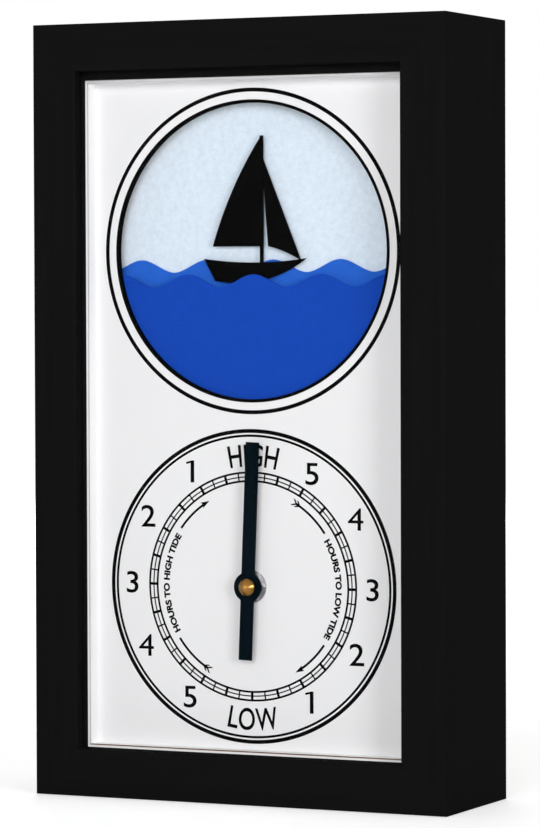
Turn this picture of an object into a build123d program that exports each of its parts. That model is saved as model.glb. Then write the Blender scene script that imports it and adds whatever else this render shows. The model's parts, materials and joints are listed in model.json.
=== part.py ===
from build123d import *
from math import acos, cos, pi, radians, sin, tan
import os

# Tide clock: a black box frame with a rocking picture in a porthole above a one-hand tide dial.
# Millimetres, +Z up, +X to the right of someone facing the dial, +Y into the case.
# The origin is under the middle of the case. "Depth" is measured back from the front of the frame.

# Frame of four mitred rails
case_width = 184.0
case_height = 317.5
case_depth = 63.5
rail_face = 19.5
rail_wall = 12.0
lip_thickness = 4.5
edge_round = 0.8

# Sheets and strips stacked behind the lip
sheet_clearance = 0.5
glass_thickness = 2.0
spacer_depth = 3.0
spacer_drop = 3.4
fillet_depth = 6.1
fillet_reveal = 1.4
dial_thickness = 2.0
retainer_width = 7.0
retainer_depth = 8.0

# Hanger let into the back of the top rail
hanger_width = 48.0
hanger_height = 6.0
hanger_thickness = 1.0
hanger_margin = 2.0
hanger_tooth = 2.0
hanger_tooth_count = 13
hanger_nail_inset = 4.0
hanger_pocket_height = 5.0
hanger_pocket_depth = 7.0
nail_radius = 0.8
nail_head_radius = 1.6
nail_head_height = 0.6
nail_length = 11.0

# Fits
running_clearance = 0.05
press_clearance = 0.01
cell_clearance = 0.4

# Porthole picture
porthole_margin = 9.325
porthole_offset = 4.375
board_clearance = 1.25
picture_margin = 3.7
cutout_clearance = 0.3
card_thickness = 0.8
rocking_gap = 0.8
backdrop_thickness = 2.0
board_screw_inset = 6.0
sea_rise = 12.0
swell_rise = 18.0
wave_length = 30.0
wave_height = 2.6

# Sailing boat cut from card
hull_length = 46.0
hull_depth = 9.0
hull_rake = 5.0
deck_sheer = 1.6
mast_headroom = 13.3
mast_width = 1.4
mast_step = 3.0
boom_height = 5.0
boom_length = 22.0
sail_belly = 2.2
jib_head = 8.0
jib_foot = 3.0
jib_tack_inset = 2.5
stem_width = 5.0
boat_hub_radius = 4.5

# Rocker drive behind the picture
drive_margin = 2.0
drive_wall = 2.0
drive_rim = 20.2
drive_corner = 2.5
drive_boss_radius = 4.0
pivot_headroom = 9.0
lever_length = 30.0
lever_width = 5.0
lever_thickness = 1.6
lever_hub_radius = 4.0
lever_hub_length = 6.0
lever_swing_room = 5.0
shaft_radius = 1.5
magnet_radius = 6.0
magnet_thickness = 4.0
magnet_gap = 1.2
drive_coil_radius = 9.0
drive_coil_core = 3.0
drive_coil_depth = 5.0
drive_board_width = 34.0
drive_board_height = 22.0
board_thickness = 0.8
drive_lug_radius = 4.6
lug_head_clearance = 0.4
drive_lug_thickness = 3.0
drive_pillar_radius = 3.0
drive_pillar_inset = 2.2
c_cell_radius = 13.1
c_cell_length = 50.0
c_nub_radius = 3.4
c_nub_height = 1.6
contact_thickness = 0.4
spring_reach = 2.6

# Screws
screw_radius = 1.3
screw_head_radius = 2.6
screw_head_height = 1.5
board_screw_length = 5.5
drive_screw_length = 4.6
cover_screw_length = 8.0
movement_screw_radius = 0.75
movement_screw_head_radius = 1.6
movement_screw_head_height = 0.9
movement_screw_length = 6.0

# Tide hand, its nut and the fixing of the movement to the dial
dial_offset = 1.625
hand_tip_margin = 10.625
hand_tail = 29.8
hand_width = 5.8
hand_hub_radius = 6.1
hand_thickness = 0.6
hand_lift = 3.7
hand_angle = 2.3
hand_nut_radius = 3.6
hand_nut_rim = 1.0
hand_nut_height = 3.1
hand_nut_tip_radius = 0.7
hand_stub_radius = 1.5
hand_stub_length = 2.6
hand_shaft_radius = 2.0
bush_radius = 4.0
bush_reach = 3.2
bush_hole_clearance = 0.15
bush_nut_across_flats = 11.0
bush_nut_thickness = 2.0
bush_washer_radius = 6.6
bush_washer_thickness = 0.6
gasket_radius = 12.0
gasket_thickness = 1.0

# Tide movement
movement_width = 56.0
movement_above = 27.5
movement_depth = 16.5
movement_wall = 1.5
movement_corner = 2.5
movement_partition = 1.2
train_below = 12.8
lid_clearance = 0.15
pivot_sink = 0.9
pivot_boss_radius = 1.7
pivot_boss_length = 2.0
movement_pillar_radius = 1.9
movement_pillar_inset = 2.3
aa_cell_radius = 7.1
aa_cell_length = 50.5
aa_nub_radius = 2.7
aa_nub_height = 1.3

# Wheel train
pressure_angle = radians(25)
tooth_addendum = 0.9
tooth_dedendum = 1.15
tooth_backlash = 0.07
motion_module = 0.4
train_module = 0.3
hand_wheel_teeth = 48
motion_pinion_teeth = 12
motion_wheel_teeth = 45
centre_pinion_teeth = 15
set_gear_teeth = 15
centre_wheel_teeth = 72
third_wheel_teeth = 60
second_wheel_teeth = 60
train_pinion_teeth = 12
wheel_flank_steps = 1
pinion_flank_steps = 3
wheel_thickness = 1.5
layer_gap = 0.6
front_play = 0.5
arbor_radius = 0.6
centre_arbor_radius = 0.8
collar_radius = 1.3
motion_bearing = 150.0
set_bearing = 75.0
third_bearing = 20.0
second_bearing = 100.0
rotor_bearing = 20.0
knob_radius = 6.0
knob_thickness = 3.0
knob_lift = 1.2
knob_flutes = 24
knob_flute_radius = 0.5

# Stepping motor and electronics of the movement
rotor_magnet_radius = 2.8
rotor_magnet_length = 4.0
rotor_gap = 0.3
stator_thickness = 1.2
stator_ring = 1.3
stator_core_width = 2.4
stator_arm_offset = 5.2
stator_arm_width = 1.6
stator_drop = 26.5
stepper_coil_radius = 2.6
stepper_coil_length = 15.0
stepper_coil_drop = 17.0
stepper_flange_radius = 3.0
stepper_flange_thickness = 0.8
stator_post_radius = 0.8
circuit_width = 11.0
circuit_height = 20.0
circuit_thickness = 1.0
circuit_x = -20.0
circuit_z = 3.0
circuit_depth = 9.4
circuit_post_radius = 1.2
circuit_post_spread = 7.0
circuit_post_offset = 3.6
crystal_radius = 1.0
crystal_length = 6.0

# Depths of the stack behind the front of the frame
glass_back = lip_thickness + glass_thickness
spacer_back = glass_back + spacer_depth
dial_front = spacer_back + fillet_depth
dial_back = dial_front + dial_thickness
retainer_back = dial_back + retainer_depth
sea_back = dial_back + card_thickness
boat_front = sea_back + rocking_gap
boat_back = boat_front + card_thickness
swell_front = boat_back + rocking_gap
backdrop_front = swell_front + card_thickness
backdrop_back = backdrop_front + backdrop_thickness
hand_back = dial_front - hand_lift
hand_front = hand_back - hand_thickness

# Square fields of the opening, one for the porthole above one for the dial
opening_width = case_width - 2 * rail_face
opening_height = case_height - 2 * rail_face
field_side = min(opening_width, opening_height / 2)
porthole_radius = field_side / 2 - porthole_margin
porthole_height = case_height - rail_face - field_side / 2 - porthole_offset
picture_board_side = field_side - board_clearance
dial_height = rail_face + field_side / 2 - dial_offset
hand_reach = field_side / 2 - hand_tip_margin

# Outlines shared by the sheets
bay_width = case_width - 2 * rail_wall
bay_height = case_height - 2 * rail_wall
sheet_width = bay_width - 2 * sheet_clearance
sheet_height = bay_height - 2 * sheet_clearance
spacer_width = rail_face - rail_wall - sheet_clearance
spacer_top_width = spacer_width + spacer_drop
fillet_opening_width = opening_width - 2 * fillet_reveal
fillet_opening_height = opening_height - spacer_drop - 2 * fillet_reveal
middle_height = case_height / 2
picture_hole_radius = porthole_radius + picture_margin
cutout_radius = picture_hole_radius - cutout_clearance
board_screw_spread = picture_board_side - 2 * board_screw_inset

# Rocker drive, measured from the pivot of the boat
drive_front = backdrop_back
drive_floor = drive_front + drive_wall
drive_back = drive_front + drive_rim
drive_cover_back = drive_back + drive_wall
c_bay_length = c_cell_length + contact_thickness + spring_reach
c_bay_height = 2 * (c_cell_radius + cell_clearance)
drive_width = c_bay_length + 2 * drive_wall
lever_room_bottom = -(lever_length + magnet_radius + lever_swing_room)
drive_bottom = lever_room_bottom - drive_wall
drive_shelf = pivot_headroom + drive_wall
drive_top = drive_shelf + c_bay_height + drive_wall
c_cell_rise = drive_shelf + c_bay_height / 2
c_cell_depth = drive_floor + cell_clearance + c_cell_radius
c_cell_right = c_bay_length / 2 - contact_thickness
coil_front = drive_floor + board_thickness
coil_back = coil_front + drive_coil_depth
magnet_front = coil_back + magnet_gap
lever_front = magnet_front + magnet_thickness
lever_back = lever_front + lever_thickness
lug_offset = drive_width / 2 + screw_head_radius + lug_head_clearance
pillar_x = drive_width / 2 - drive_wall - drive_pillar_inset
pillar_low = lever_room_bottom + drive_pillar_inset
pillar_high = pivot_headroom - drive_pillar_inset
drive_pillars = [(side * pillar_x, level) for side in (-1, 1) for level in (pillar_low, pillar_high)]
drive_lugs = [(-lug_offset, pillar_low), (lug_offset, pillar_low), (-lug_offset, 0), (lug_offset, 0)]
pivot_height = porthole_height - picture_board_side / 2 + drive_margin - drive_bottom

# Sea and boat: the waves stand over the pivot, the keel lies on the sea and the mast clears the porthole
pivot_drop = porthole_height - pivot_height
sea_level = sea_rise - pivot_drop
swell_level = swell_rise - pivot_drop
deck_height = sea_rise + hull_depth
mast_height = pivot_drop + porthole_radius - mast_headroom - deck_height

# Tide movement, measured from the axis of the hand
movement_front = dial_back + gasket_thickness
movement_floor = movement_front + movement_wall
movement_back = movement_front + movement_depth
lid_front = movement_back - movement_wall
bush_front = dial_front - bush_reach
aa_bay_height = 2 * (aa_cell_radius + cell_clearance)
aa_bay_top = -train_below - movement_partition
aa_cell_rise = aa_bay_top - aa_bay_height / 2
movement_below = aa_bay_height - aa_bay_top + movement_wall
train_width = movement_width - 2 * movement_wall
train_top = movement_above - movement_wall
train_height = train_top + train_below
train_middle = (train_top - train_below) / 2
aa_cell_depth = movement_floor + cell_clearance / 2 + aa_cell_radius
aa_cell_right = train_width / 2 - contact_thickness
movement_pillars = [
    (side * (train_width / 2 - movement_pillar_inset), level)
    for side in (-1, 1)
    for level in (train_top - movement_pillar_inset, movement_pillar_inset - train_below)
]
arbor_front = movement_floor - pivot_sink
arbor_back = lid_front - layer_gap
circuit_front = movement_floor + circuit_depth
circuit_back = circuit_front + circuit_thickness
circuit_posts = [(circuit_x - circuit_post_offset, circuit_z + end * circuit_post_spread) for end in (-1, 1)]


def layer(number):
    """Front and back depth of one layer of the wheel train, counted from the dial side."""
    front = movement_floor + front_play + number * (wheel_thickness + layer_gap)
    return front, front + wheel_thickness


def mesh_axis(start, module, teeth, other_teeth, bearing):
    """Axis of a wheel that meshes with the wheel at start, in the given direction from it."""
    distance = module * (teeth + other_teeth) / 2
    return (
        start[0] + distance * cos(radians(bearing)),
        start[1] + distance * sin(radians(bearing)),
    )


def mesh_phase(teeth, other_teeth, bearing):
    """Turn of a wheel whose gap takes a tooth of another wheel, which lies the other way."""
    angle = radians(bearing)
    return angle + pi - (pi - other_teeth * angle) / teeth


hand_axis = (0.0, 0.0)
motion_axis = mesh_axis(hand_axis, motion_module, hand_wheel_teeth, motion_pinion_teeth, motion_bearing)
set_axis = mesh_axis(motion_axis, motion_module, motion_wheel_teeth, set_gear_teeth, set_bearing)
third_axis = mesh_axis(hand_axis, train_module, centre_wheel_teeth, train_pinion_teeth, third_bearing)
second_axis = mesh_axis(third_axis, train_module, third_wheel_teeth, train_pinion_teeth, second_bearing)
rotor_axis = mesh_axis(second_axis, train_module, second_wheel_teeth, train_pinion_teeth, rotor_bearing)
long_arbors = [motion_axis, third_axis, second_axis, rotor_axis]

stator_middle = movement_floor + stepper_flange_radius + rotor_gap
stator_front = stator_middle - stator_thickness / 2
stator_back = stator_middle + stator_thickness / 2
stator_hole_radius = rotor_magnet_radius + rotor_gap
stator_arm_x = rotor_axis[0] - stator_arm_offset
stator_foot_z = rotor_axis[1] - stator_drop
stator_posts = [(stator_arm_x, stator_foot_z), (stator_arm_x, rotor_axis[1] - stepper_coil_drop)]


def front_plane(depth, x=0.0, z=0.0):
    """Plane parallel to the dial at a depth behind the front of the frame, facing the viewer."""
    return Plane(origin=(x, depth - case_depth / 2, z), x_dir=(1, 0, 0), z_dir=(0, -1, 0))


def picture_plane(depth):
    """Plane centred on the porthole."""
    return front_plane(depth, 0, porthole_height)


def pivot_plane(depth):
    """Plane centred on the pivot of the boat."""
    return front_plane(depth, 0, pivot_height)


def movement_plane(depth):
    """Plane centred on the axis of the tide hand."""
    return front_plane(depth, 0, dial_height)


def discs(plane, radius, places=((0.0, 0.0),)):
    """Round sections at places on a plane."""
    with BuildSketch(plane) as section:
        with Locations(*places):
            Circle(radius)
    return section.sketch


def panel(plane, width, height, place=(0.0, 0.0), corner=0.0):
    """Rectangular section with optional rounded corners."""
    with BuildSketch(plane) as section:
        with Locations(place):
            if corner:
                RectangleRounded(width, height, corner)
            else:
                Rectangle(width, height)
    return section.sketch


def gear_face(plane, place, teeth, module, phase, flank_steps):
    """Involute wheel section with a tooth centred on the phase angle."""
    pitch_radius = teeth * module / 2
    base_radius = pitch_radius * cos(pressure_angle)
    root_radius = pitch_radius - tooth_dedendum * module
    flank_height = (tooth_addendum + tooth_dedendum) * module
    half_tooth = (pi * module / 2 - tooth_backlash) / (2 * pitch_radius)

    def half_angle(radius):
        slope = acos(min(1.0, base_radius / radius))
        return half_tooth + tan(pressure_angle) - pressure_angle - tan(slope) + slope

    radii = [root_radius + flank_height * step / flank_steps for step in range(flank_steps + 1)]
    points = []
    for tooth in range(teeth):
        middle = phase + 2 * pi * tooth / teeth
        flank = [(radius, middle - half_angle(radius)) for radius in radii]
        flank += [(radius, middle + half_angle(radius)) for radius in reversed(radii)]
        points += [(radius * cos(angle), radius * sin(angle)) for radius, angle in flank]
    with BuildSketch(plane) as section:
        with BuildLine():
            Polyline(*[(place[0] + u, place[1] + v) for u, v in points], close=True)
        make_face()
    return section.sketch


def rail_profile(plane):
    """Moulding section: a deep wall with a lip in front that holds the glass."""
    with BuildSketch(plane) as section:
        with BuildLine():
            Polyline(
                (0, 0),
                (rail_face, 0),
                (rail_face, lip_thickness),
                (rail_wall, lip_thickness),
                (rail_wall, case_depth),
                (0, case_depth),
                close=True,
            )
        make_face()
        fillet(section.vertices().group_by(Axis.Y)[0], radius=edge_round)
    return section.sketch


def under_waves(plane, level, shift, radius):
    """Part of a disc below a row of even waves."""
    quarters = int(8 * radius / wave_length) + 4
    start = -quarters * wave_length / 8
    crest = [
        (start + step * wave_length / 4, level + wave_height * cos(pi * step / 2 + shift))
        for step in range(quarters + 1)
    ]
    with BuildSketch(plane) as section:
        with BuildLine():
            Spline(*crest)
            Polyline(crest[-1], (crest[-1][0], -2 * radius), (crest[0][0], -2 * radius), crest[0])
        make_face()
        Circle(radius, mode=Mode.INTERSECT)
    return section.sketch


def screws(plane_at, places, seat, radius, length, head_radius, head_height):
    """Pan head screws driven in from behind, with their heads on the seat depth."""
    with BuildPart() as group:
        extrude(discs(plane_at(seat), radius, places), amount=length)
        extrude(discs(plane_at(seat + head_height), head_radius, places), amount=head_height)
    return group.part


os.makedirs("parts", exist_ok=True)


def save(piece, name):
    """Label a finished piece and write its file."""
    piece.part.label = name
    export_step(piece.part, f"parts/{name}.step")


# Mitre planes of the four corners, facing the upright rails
mitres = {
    ("left", "bottom"): Plane(origin=(-case_width / 2, 0, 0), z_dir=(-1, 0, 1)),
    ("left", "top"): Plane(origin=(-case_width / 2, 0, case_height), z_dir=(-1, 0, -1)),
    ("right", "bottom"): Plane(origin=(case_width / 2, 0, 0), z_dir=(1, 0, 1)),
    ("right", "top"): Plane(origin=(case_width / 2, 0, case_height), z_dir=(1, 0, -1)),
}
front_left = (-case_width / 2, -case_depth / 2)
front_right = (case_width / 2, -case_depth / 2)

# Upright rails of the frame
rail_starts = {
    "left": Plane(origin=(*front_left, 0), x_dir=(1, 0, 0), z_dir=(0, 0, 1)),
    "right": Plane(origin=(*front_right, case_height), x_dir=(-1, 0, 0), z_dir=(0, 0, -1)),
}
for side, start in rail_starts.items():
    with BuildPart() as upright_rail:
        extrude(rail_profile(start), amount=case_height)
        for end in ("bottom", "top"):
            split(bisect_by=mitres[(side, end)], keep=Keep.TOP)
    save(upright_rail, f"frame_{side}")

# Bottom rail of the frame
with BuildPart() as frame_bottom:
    extrude(
        rail_profile(Plane(origin=(*front_right, 0), x_dir=(0, 0, 1), z_dir=(-1, 0, 0))),
        amount=case_width,
    )
    for side in ("left", "right"):
        split(bisect_by=mitres[(side, "bottom")], keep=Keep.BOTTOM)
save(frame_bottom, "frame_bottom")

# Top rail of the frame, let in at the back for the hanger
hanger_seat = case_depth - hanger_thickness - nail_head_height
hanger_height_middle = case_height - hanger_margin - hanger_height / 2
hanger_teeth_width = hanger_tooth * hanger_tooth_count
hanger_edge = -hanger_height / 2
nail_places = [(side * (hanger_width / 2 - hanger_nail_inset), 0) for side in (-1, 1)]
back_depth = case_depth
with BuildPart() as frame_top:
    extrude(
        rail_profile(Plane(origin=(*front_left, case_height), x_dir=(0, 0, -1), z_dir=(1, 0, 0))),
        amount=case_width,
    )
    for side in ("left", "right"):
        split(bisect_by=mitres[(side, "top")], keep=Keep.BOTTOM)
    hanger_plane = front_plane(back_depth, 0, hanger_height_middle)
    extrude(
        panel(hanger_plane, hanger_width + 2 * lid_clearance, hanger_height + 2 * lid_clearance),
        amount=back_depth - hanger_seat,
        mode=Mode.SUBTRACT,
    )
    extrude(
        panel(hanger_plane, hanger_teeth_width, hanger_pocket_height, (0, hanger_edge)),
        amount=hanger_pocket_depth,
        mode=Mode.SUBTRACT,
    )
    extrude(
        discs(hanger_plane, nail_radius + press_clearance, nail_places),
        amount=back_depth - hanger_seat + nail_length,
        mode=Mode.SUBTRACT,
    )
save(frame_top, "frame_top")

# Sawtooth hanger plate
with BuildPart() as sawtooth_hanger:
    with BuildSketch(front_plane(hanger_seat + hanger_thickness, 0, hanger_height_middle)):
        Rectangle(hanger_width, hanger_height)
        with Locations((0, hanger_edge)):
            with GridLocations(hanger_tooth, 0, hanger_tooth_count, 1):
                RegularPolygon(hanger_tooth / 2, 4, mode=Mode.SUBTRACT)
        with Locations(*nail_places):
            Circle(nail_radius + press_clearance, mode=Mode.SUBTRACT)
    extrude(amount=hanger_thickness)
save(sawtooth_hanger, "sawtooth_hanger")

# Nails of the hanger
with BuildPart() as hanger_nails:
    nail_plane = front_plane(hanger_seat + hanger_thickness, 0, hanger_height_middle)
    extrude(discs(nail_plane, nail_radius, nail_places), amount=nail_length)
    head_plane = front_plane(back_depth, 0, hanger_height_middle)
    extrude(discs(head_plane, nail_head_radius, nail_places), amount=nail_head_height)
save(hanger_nails, "hanger_nails")

# Front glass
with BuildPart() as front_glass:
    glass_plane = front_plane(glass_back, 0, middle_height)
    extrude(panel(glass_plane, sheet_width, sheet_height), amount=glass_thickness)
save(front_glass, "front_glass")

# Black strips that hold the glass off, and strips that hold the dial in from behind
strip_sets = [
    ("spacer", spacer_back, spacer_depth, spacer_width, spacer_top_width, sheet_width, sheet_height),
    ("retainer", retainer_back, retainer_depth, retainer_width, retainer_width, bay_width, bay_height),
]
for kind, back, depth, face, top_face, outer_width, outer_height in strip_sets:
    strip_places = {
        "left": (face, outer_height, (-(outer_width - face) / 2, 0)),
        "right": (face, outer_height, ((outer_width - face) / 2, 0)),
        "top": (outer_width - 2 * face, top_face, (0, (outer_height - top_face) / 2)),
        "bottom": (outer_width - 2 * face, face, (0, -(outer_height - face) / 2)),
    }
    for side, (width, height, place) in strip_places.items():
        with BuildPart() as strip:
            extrude(panel(front_plane(back, 0, middle_height), width, height, place), amount=depth)
        save(strip, f"{kind}_{side}")

# Pale fillet round the dial
with BuildPart() as dial_fillet:
    with BuildSketch(front_plane(dial_front, 0, middle_height)):
        Rectangle(sheet_width, sheet_height)
        with Locations((0, -spacer_drop / 2)):
            Rectangle(fillet_opening_width, fillet_opening_height, mode=Mode.SUBTRACT)
    extrude(amount=fillet_depth)
save(dial_fillet, "dial_fillet")

# Dial plate with the porthole and the hole for the movement's bush
with BuildPart() as dial_plate:
    extrude(panel(front_plane(dial_back, 0, middle_height), sheet_width, sheet_height), amount=dial_thickness)
    extrude(discs(picture_plane(dial_back), porthole_radius), amount=dial_thickness, mode=Mode.SUBTRACT)
    extrude(
        discs(movement_plane(dial_back), bush_radius + bush_hole_clearance),
        amount=dial_thickness,
        mode=Mode.SUBTRACT,
    )
save(dial_plate, "dial_plate")

# Board with a round window that sets the picture back from the dial
board_screw_places = [
    (across * board_screw_spread / 2, up * board_screw_spread / 2) for across in (-1, 1) for up in (-1, 1)
]
with BuildPart() as picture_spacer:
    with BuildSketch(picture_plane(backdrop_front)):
        Rectangle(picture_board_side, picture_board_side)
        Circle(picture_hole_radius, mode=Mode.SUBTRACT)
        with Locations(*board_screw_places):
            Circle(screw_radius + press_clearance, mode=Mode.SUBTRACT)
    extrude(amount=backdrop_front - dial_back)
save(picture_spacer, "picture_spacer")

# Near waves, fixed to the back of the dial
with BuildPart() as sea_cutout:
    extrude(under_waves(picture_plane(sea_back), sea_level, pi, cutout_radius), amount=card_thickness)
save(sea_cutout, "sea_cutout")

# Far waves, fixed to the sky
with BuildPart() as swell_cutout:
    extrude(
        under_waves(picture_plane(backdrop_front), swell_level, pi / 2, cutout_radius),
        amount=card_thickness,
    )
    extrude(
        discs(pivot_plane(backdrop_front), drive_boss_radius + cutout_clearance),
        amount=card_thickness,
        mode=Mode.SUBTRACT,
    )
save(swell_cutout, "swell_cutout")

# Sky board that carries the drive
with BuildPart() as sky_backdrop:
    with BuildSketch(picture_plane(backdrop_back)):
        Rectangle(picture_board_side, picture_board_side)
        with Locations(*board_screw_places):
            Circle(screw_radius + press_clearance, mode=Mode.SUBTRACT)
    extrude(amount=backdrop_thickness)
    extrude(
        discs(pivot_plane(backdrop_back), drive_boss_radius + bush_hole_clearance),
        amount=backdrop_thickness,
        mode=Mode.SUBTRACT,
    )
    extrude(
        discs(pivot_plane(backdrop_back), screw_radius + press_clearance, drive_lugs),
        amount=backdrop_thickness,
        mode=Mode.SUBTRACT,
    )
save(sky_backdrop, "sky_backdrop")

# Screws of the picture boards
with BuildPart() as backdrop_screws:
    add(
        screws(
            picture_plane,
            board_screw_places,
            backdrop_back,
            screw_radius,
            board_screw_length,
            screw_head_radius,
            screw_head_height,
        )
    )
save(backdrop_screws, "backdrop_screws")

# Outline of the sailing boat, with its pivot at the origin
stern = (-hull_length / 2, deck_height)
bow = (hull_length / 2, deck_height)
keel_height = deck_height - hull_depth
stem_height = keel_height + hull_depth / 2
boom_level = deck_height + boom_height
mast_top = deck_height + mast_height
clew = (mast_step - boom_length, boom_level)
jib_top = (mast_step, mast_top - jib_head)
jib_clew = (mast_step + jib_foot, boom_level)
jib_tack = (bow[0] - jib_tack_inset, deck_height - deck_sheer / 2)
with BuildSketch(Plane.XY) as boat_outline:
    with BuildLine():
        ThreePointArc(stern, (0, deck_height - deck_sheer), bow)
        ThreePointArc(bow, (hull_rake / 2, keel_height), (stern[0] + hull_rake, keel_height))
        Line((stern[0] + hull_rake, keel_height), stern)
    make_face()
    with Locations((mast_step, (keel_height + mast_top) / 2)):
        Rectangle(mast_width, mast_top - keel_height)
    with BuildLine():
        Line(clew, (mast_step, boom_level))
        Line((mast_step, boom_level), (mast_step, mast_top))
        ThreePointArc(
            (mast_step, mast_top),
            ((clew[0] + mast_step) / 2 - sail_belly, (boom_level + mast_top) / 2),
            clew,
        )
    make_face()
    with BuildLine():
        Line(jib_top, jib_tack)
        ThreePointArc(jib_tack, ((jib_tack[0] + jib_clew[0]) / 2, boom_level - sail_belly), jib_clew)
        Line(jib_clew, jib_top)
    make_face()
balance = -boat_outline.sketch.center().X

# Boat, set so that it hangs level on its pivot
with BuildPart() as boat_cutout:
    boat_plane = front_plane(boat_back, balance, pivot_height)
    extrude(boat_plane * boat_outline.sketch, amount=card_thickness)
    extrude(
        panel(pivot_plane(boat_back), stem_width, stem_height, (0, stem_height / 2)),
        amount=card_thickness,
    )
    extrude(discs(pivot_plane(boat_back), boat_hub_radius), amount=card_thickness)
    extrude(
        discs(pivot_plane(boat_back), shaft_radius + press_clearance),
        amount=card_thickness,
        mode=Mode.SUBTRACT,
    )
save(boat_cutout, "boat_cutout")

# Shaft of the rocker, from the boat to the bearing in the drive's cover
shaft_back = drive_cover_back - drive_wall / 2
with BuildPart() as rocker_shaft:
    extrude(discs(pivot_plane(shaft_back), shaft_radius), amount=shaft_back - boat_front)
save(rocker_shaft, "rocker_shaft")

# Lever that hangs from the shaft
with BuildPart() as rocker_lever:
    with BuildSketch(pivot_plane(lever_back)):
        Circle(lever_hub_radius)
        with Locations((0, -lever_length)):
            Circle(magnet_radius)
        with Locations((0, -lever_length / 2)):
            Rectangle(lever_width, lever_length)
    extrude(amount=lever_thickness)
    hub_back = (lever_front + lever_back + lever_hub_length) / 2
    extrude(discs(pivot_plane(hub_back), lever_hub_radius), amount=lever_hub_length)
    extrude(
        discs(pivot_plane(hub_back), shaft_radius + press_clearance),
        amount=lever_hub_length,
        mode=Mode.SUBTRACT,
    )
save(rocker_lever, "rocker_lever")

# Magnet on the foot of the lever
with BuildPart() as rocker_magnet:
    extrude(
        discs(pivot_plane(lever_front), magnet_radius, [(0, -lever_length)]),
        amount=magnet_thickness,
    )
save(rocker_magnet, "rocker_magnet")

# Housing of the drive: a lever room below an open bay for one C cell
with BuildPart() as drive_case:
    case_middle = (0, (drive_top + drive_bottom) / 2)
    extrude(
        panel(pivot_plane(drive_back), drive_width, drive_top - drive_bottom, case_middle, drive_corner),
        amount=drive_rim,
    )
    with BuildSketch(pivot_plane(drive_front + drive_lug_thickness)):
        for across, up in drive_lugs:
            with Locations((across, up)):
                Circle(drive_lug_radius)
    extrude(amount=drive_lug_thickness)
    room_middle = (0, (lever_room_bottom + pivot_headroom) / 2)
    extrude(
        panel(pivot_plane(drive_back), c_bay_length, pivot_headroom - lever_room_bottom, room_middle),
        amount=drive_back - drive_floor,
        mode=Mode.SUBTRACT,
    )
    extrude(
        panel(pivot_plane(drive_back), c_bay_length, c_bay_height, (0, c_cell_rise)),
        amount=drive_back - drive_floor,
        mode=Mode.SUBTRACT,
    )
    extrude(
        discs(pivot_plane(drive_back), drive_pillar_radius, drive_pillars),
        amount=drive_back - drive_floor,
    )
    extrude(discs(pivot_plane(drive_floor), drive_boss_radius), amount=drive_floor - backdrop_front)
    extrude(
        discs(pivot_plane(coil_back), drive_coil_core - running_clearance, [(0, -lever_length)]),
        amount=coil_back - drive_floor,
    )
    extrude(
        discs(pivot_plane(drive_floor), shaft_radius + running_clearance),
        amount=drive_floor - backdrop_front,
        mode=Mode.SUBTRACT,
    )
    extrude(
        discs(pivot_plane(drive_back), screw_radius + press_clearance, drive_pillars),
        amount=cover_screw_length,
        mode=Mode.SUBTRACT,
    )
    extrude(
        discs(pivot_plane(drive_front + drive_lug_thickness), screw_radius + press_clearance, drive_lugs),
        amount=drive_lug_thickness,
        mode=Mode.SUBTRACT,
    )
save(drive_case, "drive_case")

# Cover of the lever room, with the rear bearing of the shaft
cover_height = drive_shelf - drive_bottom
cover_middle = (0, (drive_bottom + drive_shelf) / 2)
with BuildPart() as drive_cover:
    extrude(
        panel(pivot_plane(drive_cover_back), drive_width, cover_height, cover_middle, drive_corner),
        amount=drive_wall,
    )
    extrude(discs(pivot_plane(drive_back), drive_boss_radius), amount=drive_wall)
    extrude(
        discs(pivot_plane(shaft_back), shaft_radius + running_clearance),
        amount=shaft_back - drive_back + drive_wall,
        mode=Mode.SUBTRACT,
    )
    extrude(
        discs(pivot_plane(drive_cover_back), screw_radius + press_clearance, drive_pillars),
        amount=drive_wall,
        mode=Mode.SUBTRACT,
    )
save(drive_cover, "drive_cover")

# Screws of the drive's cover and of its lugs
drive_screw_sets = [
    ("drive_cover_screws", drive_pillars, drive_cover_back, cover_screw_length),
    ("drive_screws", drive_lugs, drive_front + drive_lug_thickness, drive_screw_length),
]
for name, places, seat, length in drive_screw_sets:
    with BuildPart() as drive_fixings:
        add(screws(pivot_plane, places, seat, screw_radius, length, screw_head_radius, screw_head_height))
    save(drive_fixings, name)

# Circuit board of the drive, under the coil
with BuildPart() as drive_board:
    with BuildSketch(pivot_plane(coil_front)):
        with Locations((0, -lever_length)):
            Rectangle(drive_board_width, drive_board_height)
            Circle(drive_coil_core, mode=Mode.SUBTRACT)
    extrude(amount=board_thickness)
save(drive_board, "drive_board")

# Coil that pushes the magnet
with BuildPart() as drive_coil:
    with BuildSketch(pivot_plane(coil_back)):
        with Locations((0, -lever_length)):
            Circle(drive_coil_radius)
            Circle(drive_coil_core, mode=Mode.SUBTRACT)
    extrude(amount=drive_coil_depth)
save(drive_coil, "drive_coil")

# Rubber gasket between the dial and the movement
with BuildPart() as movement_gasket:
    with BuildSketch(movement_plane(movement_front)):
        Circle(gasket_radius)
        Circle(bush_radius + bush_hole_clearance, mode=Mode.SUBTRACT)
    extrude(amount=gasket_thickness)
save(movement_gasket, "movement_gasket")

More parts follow.
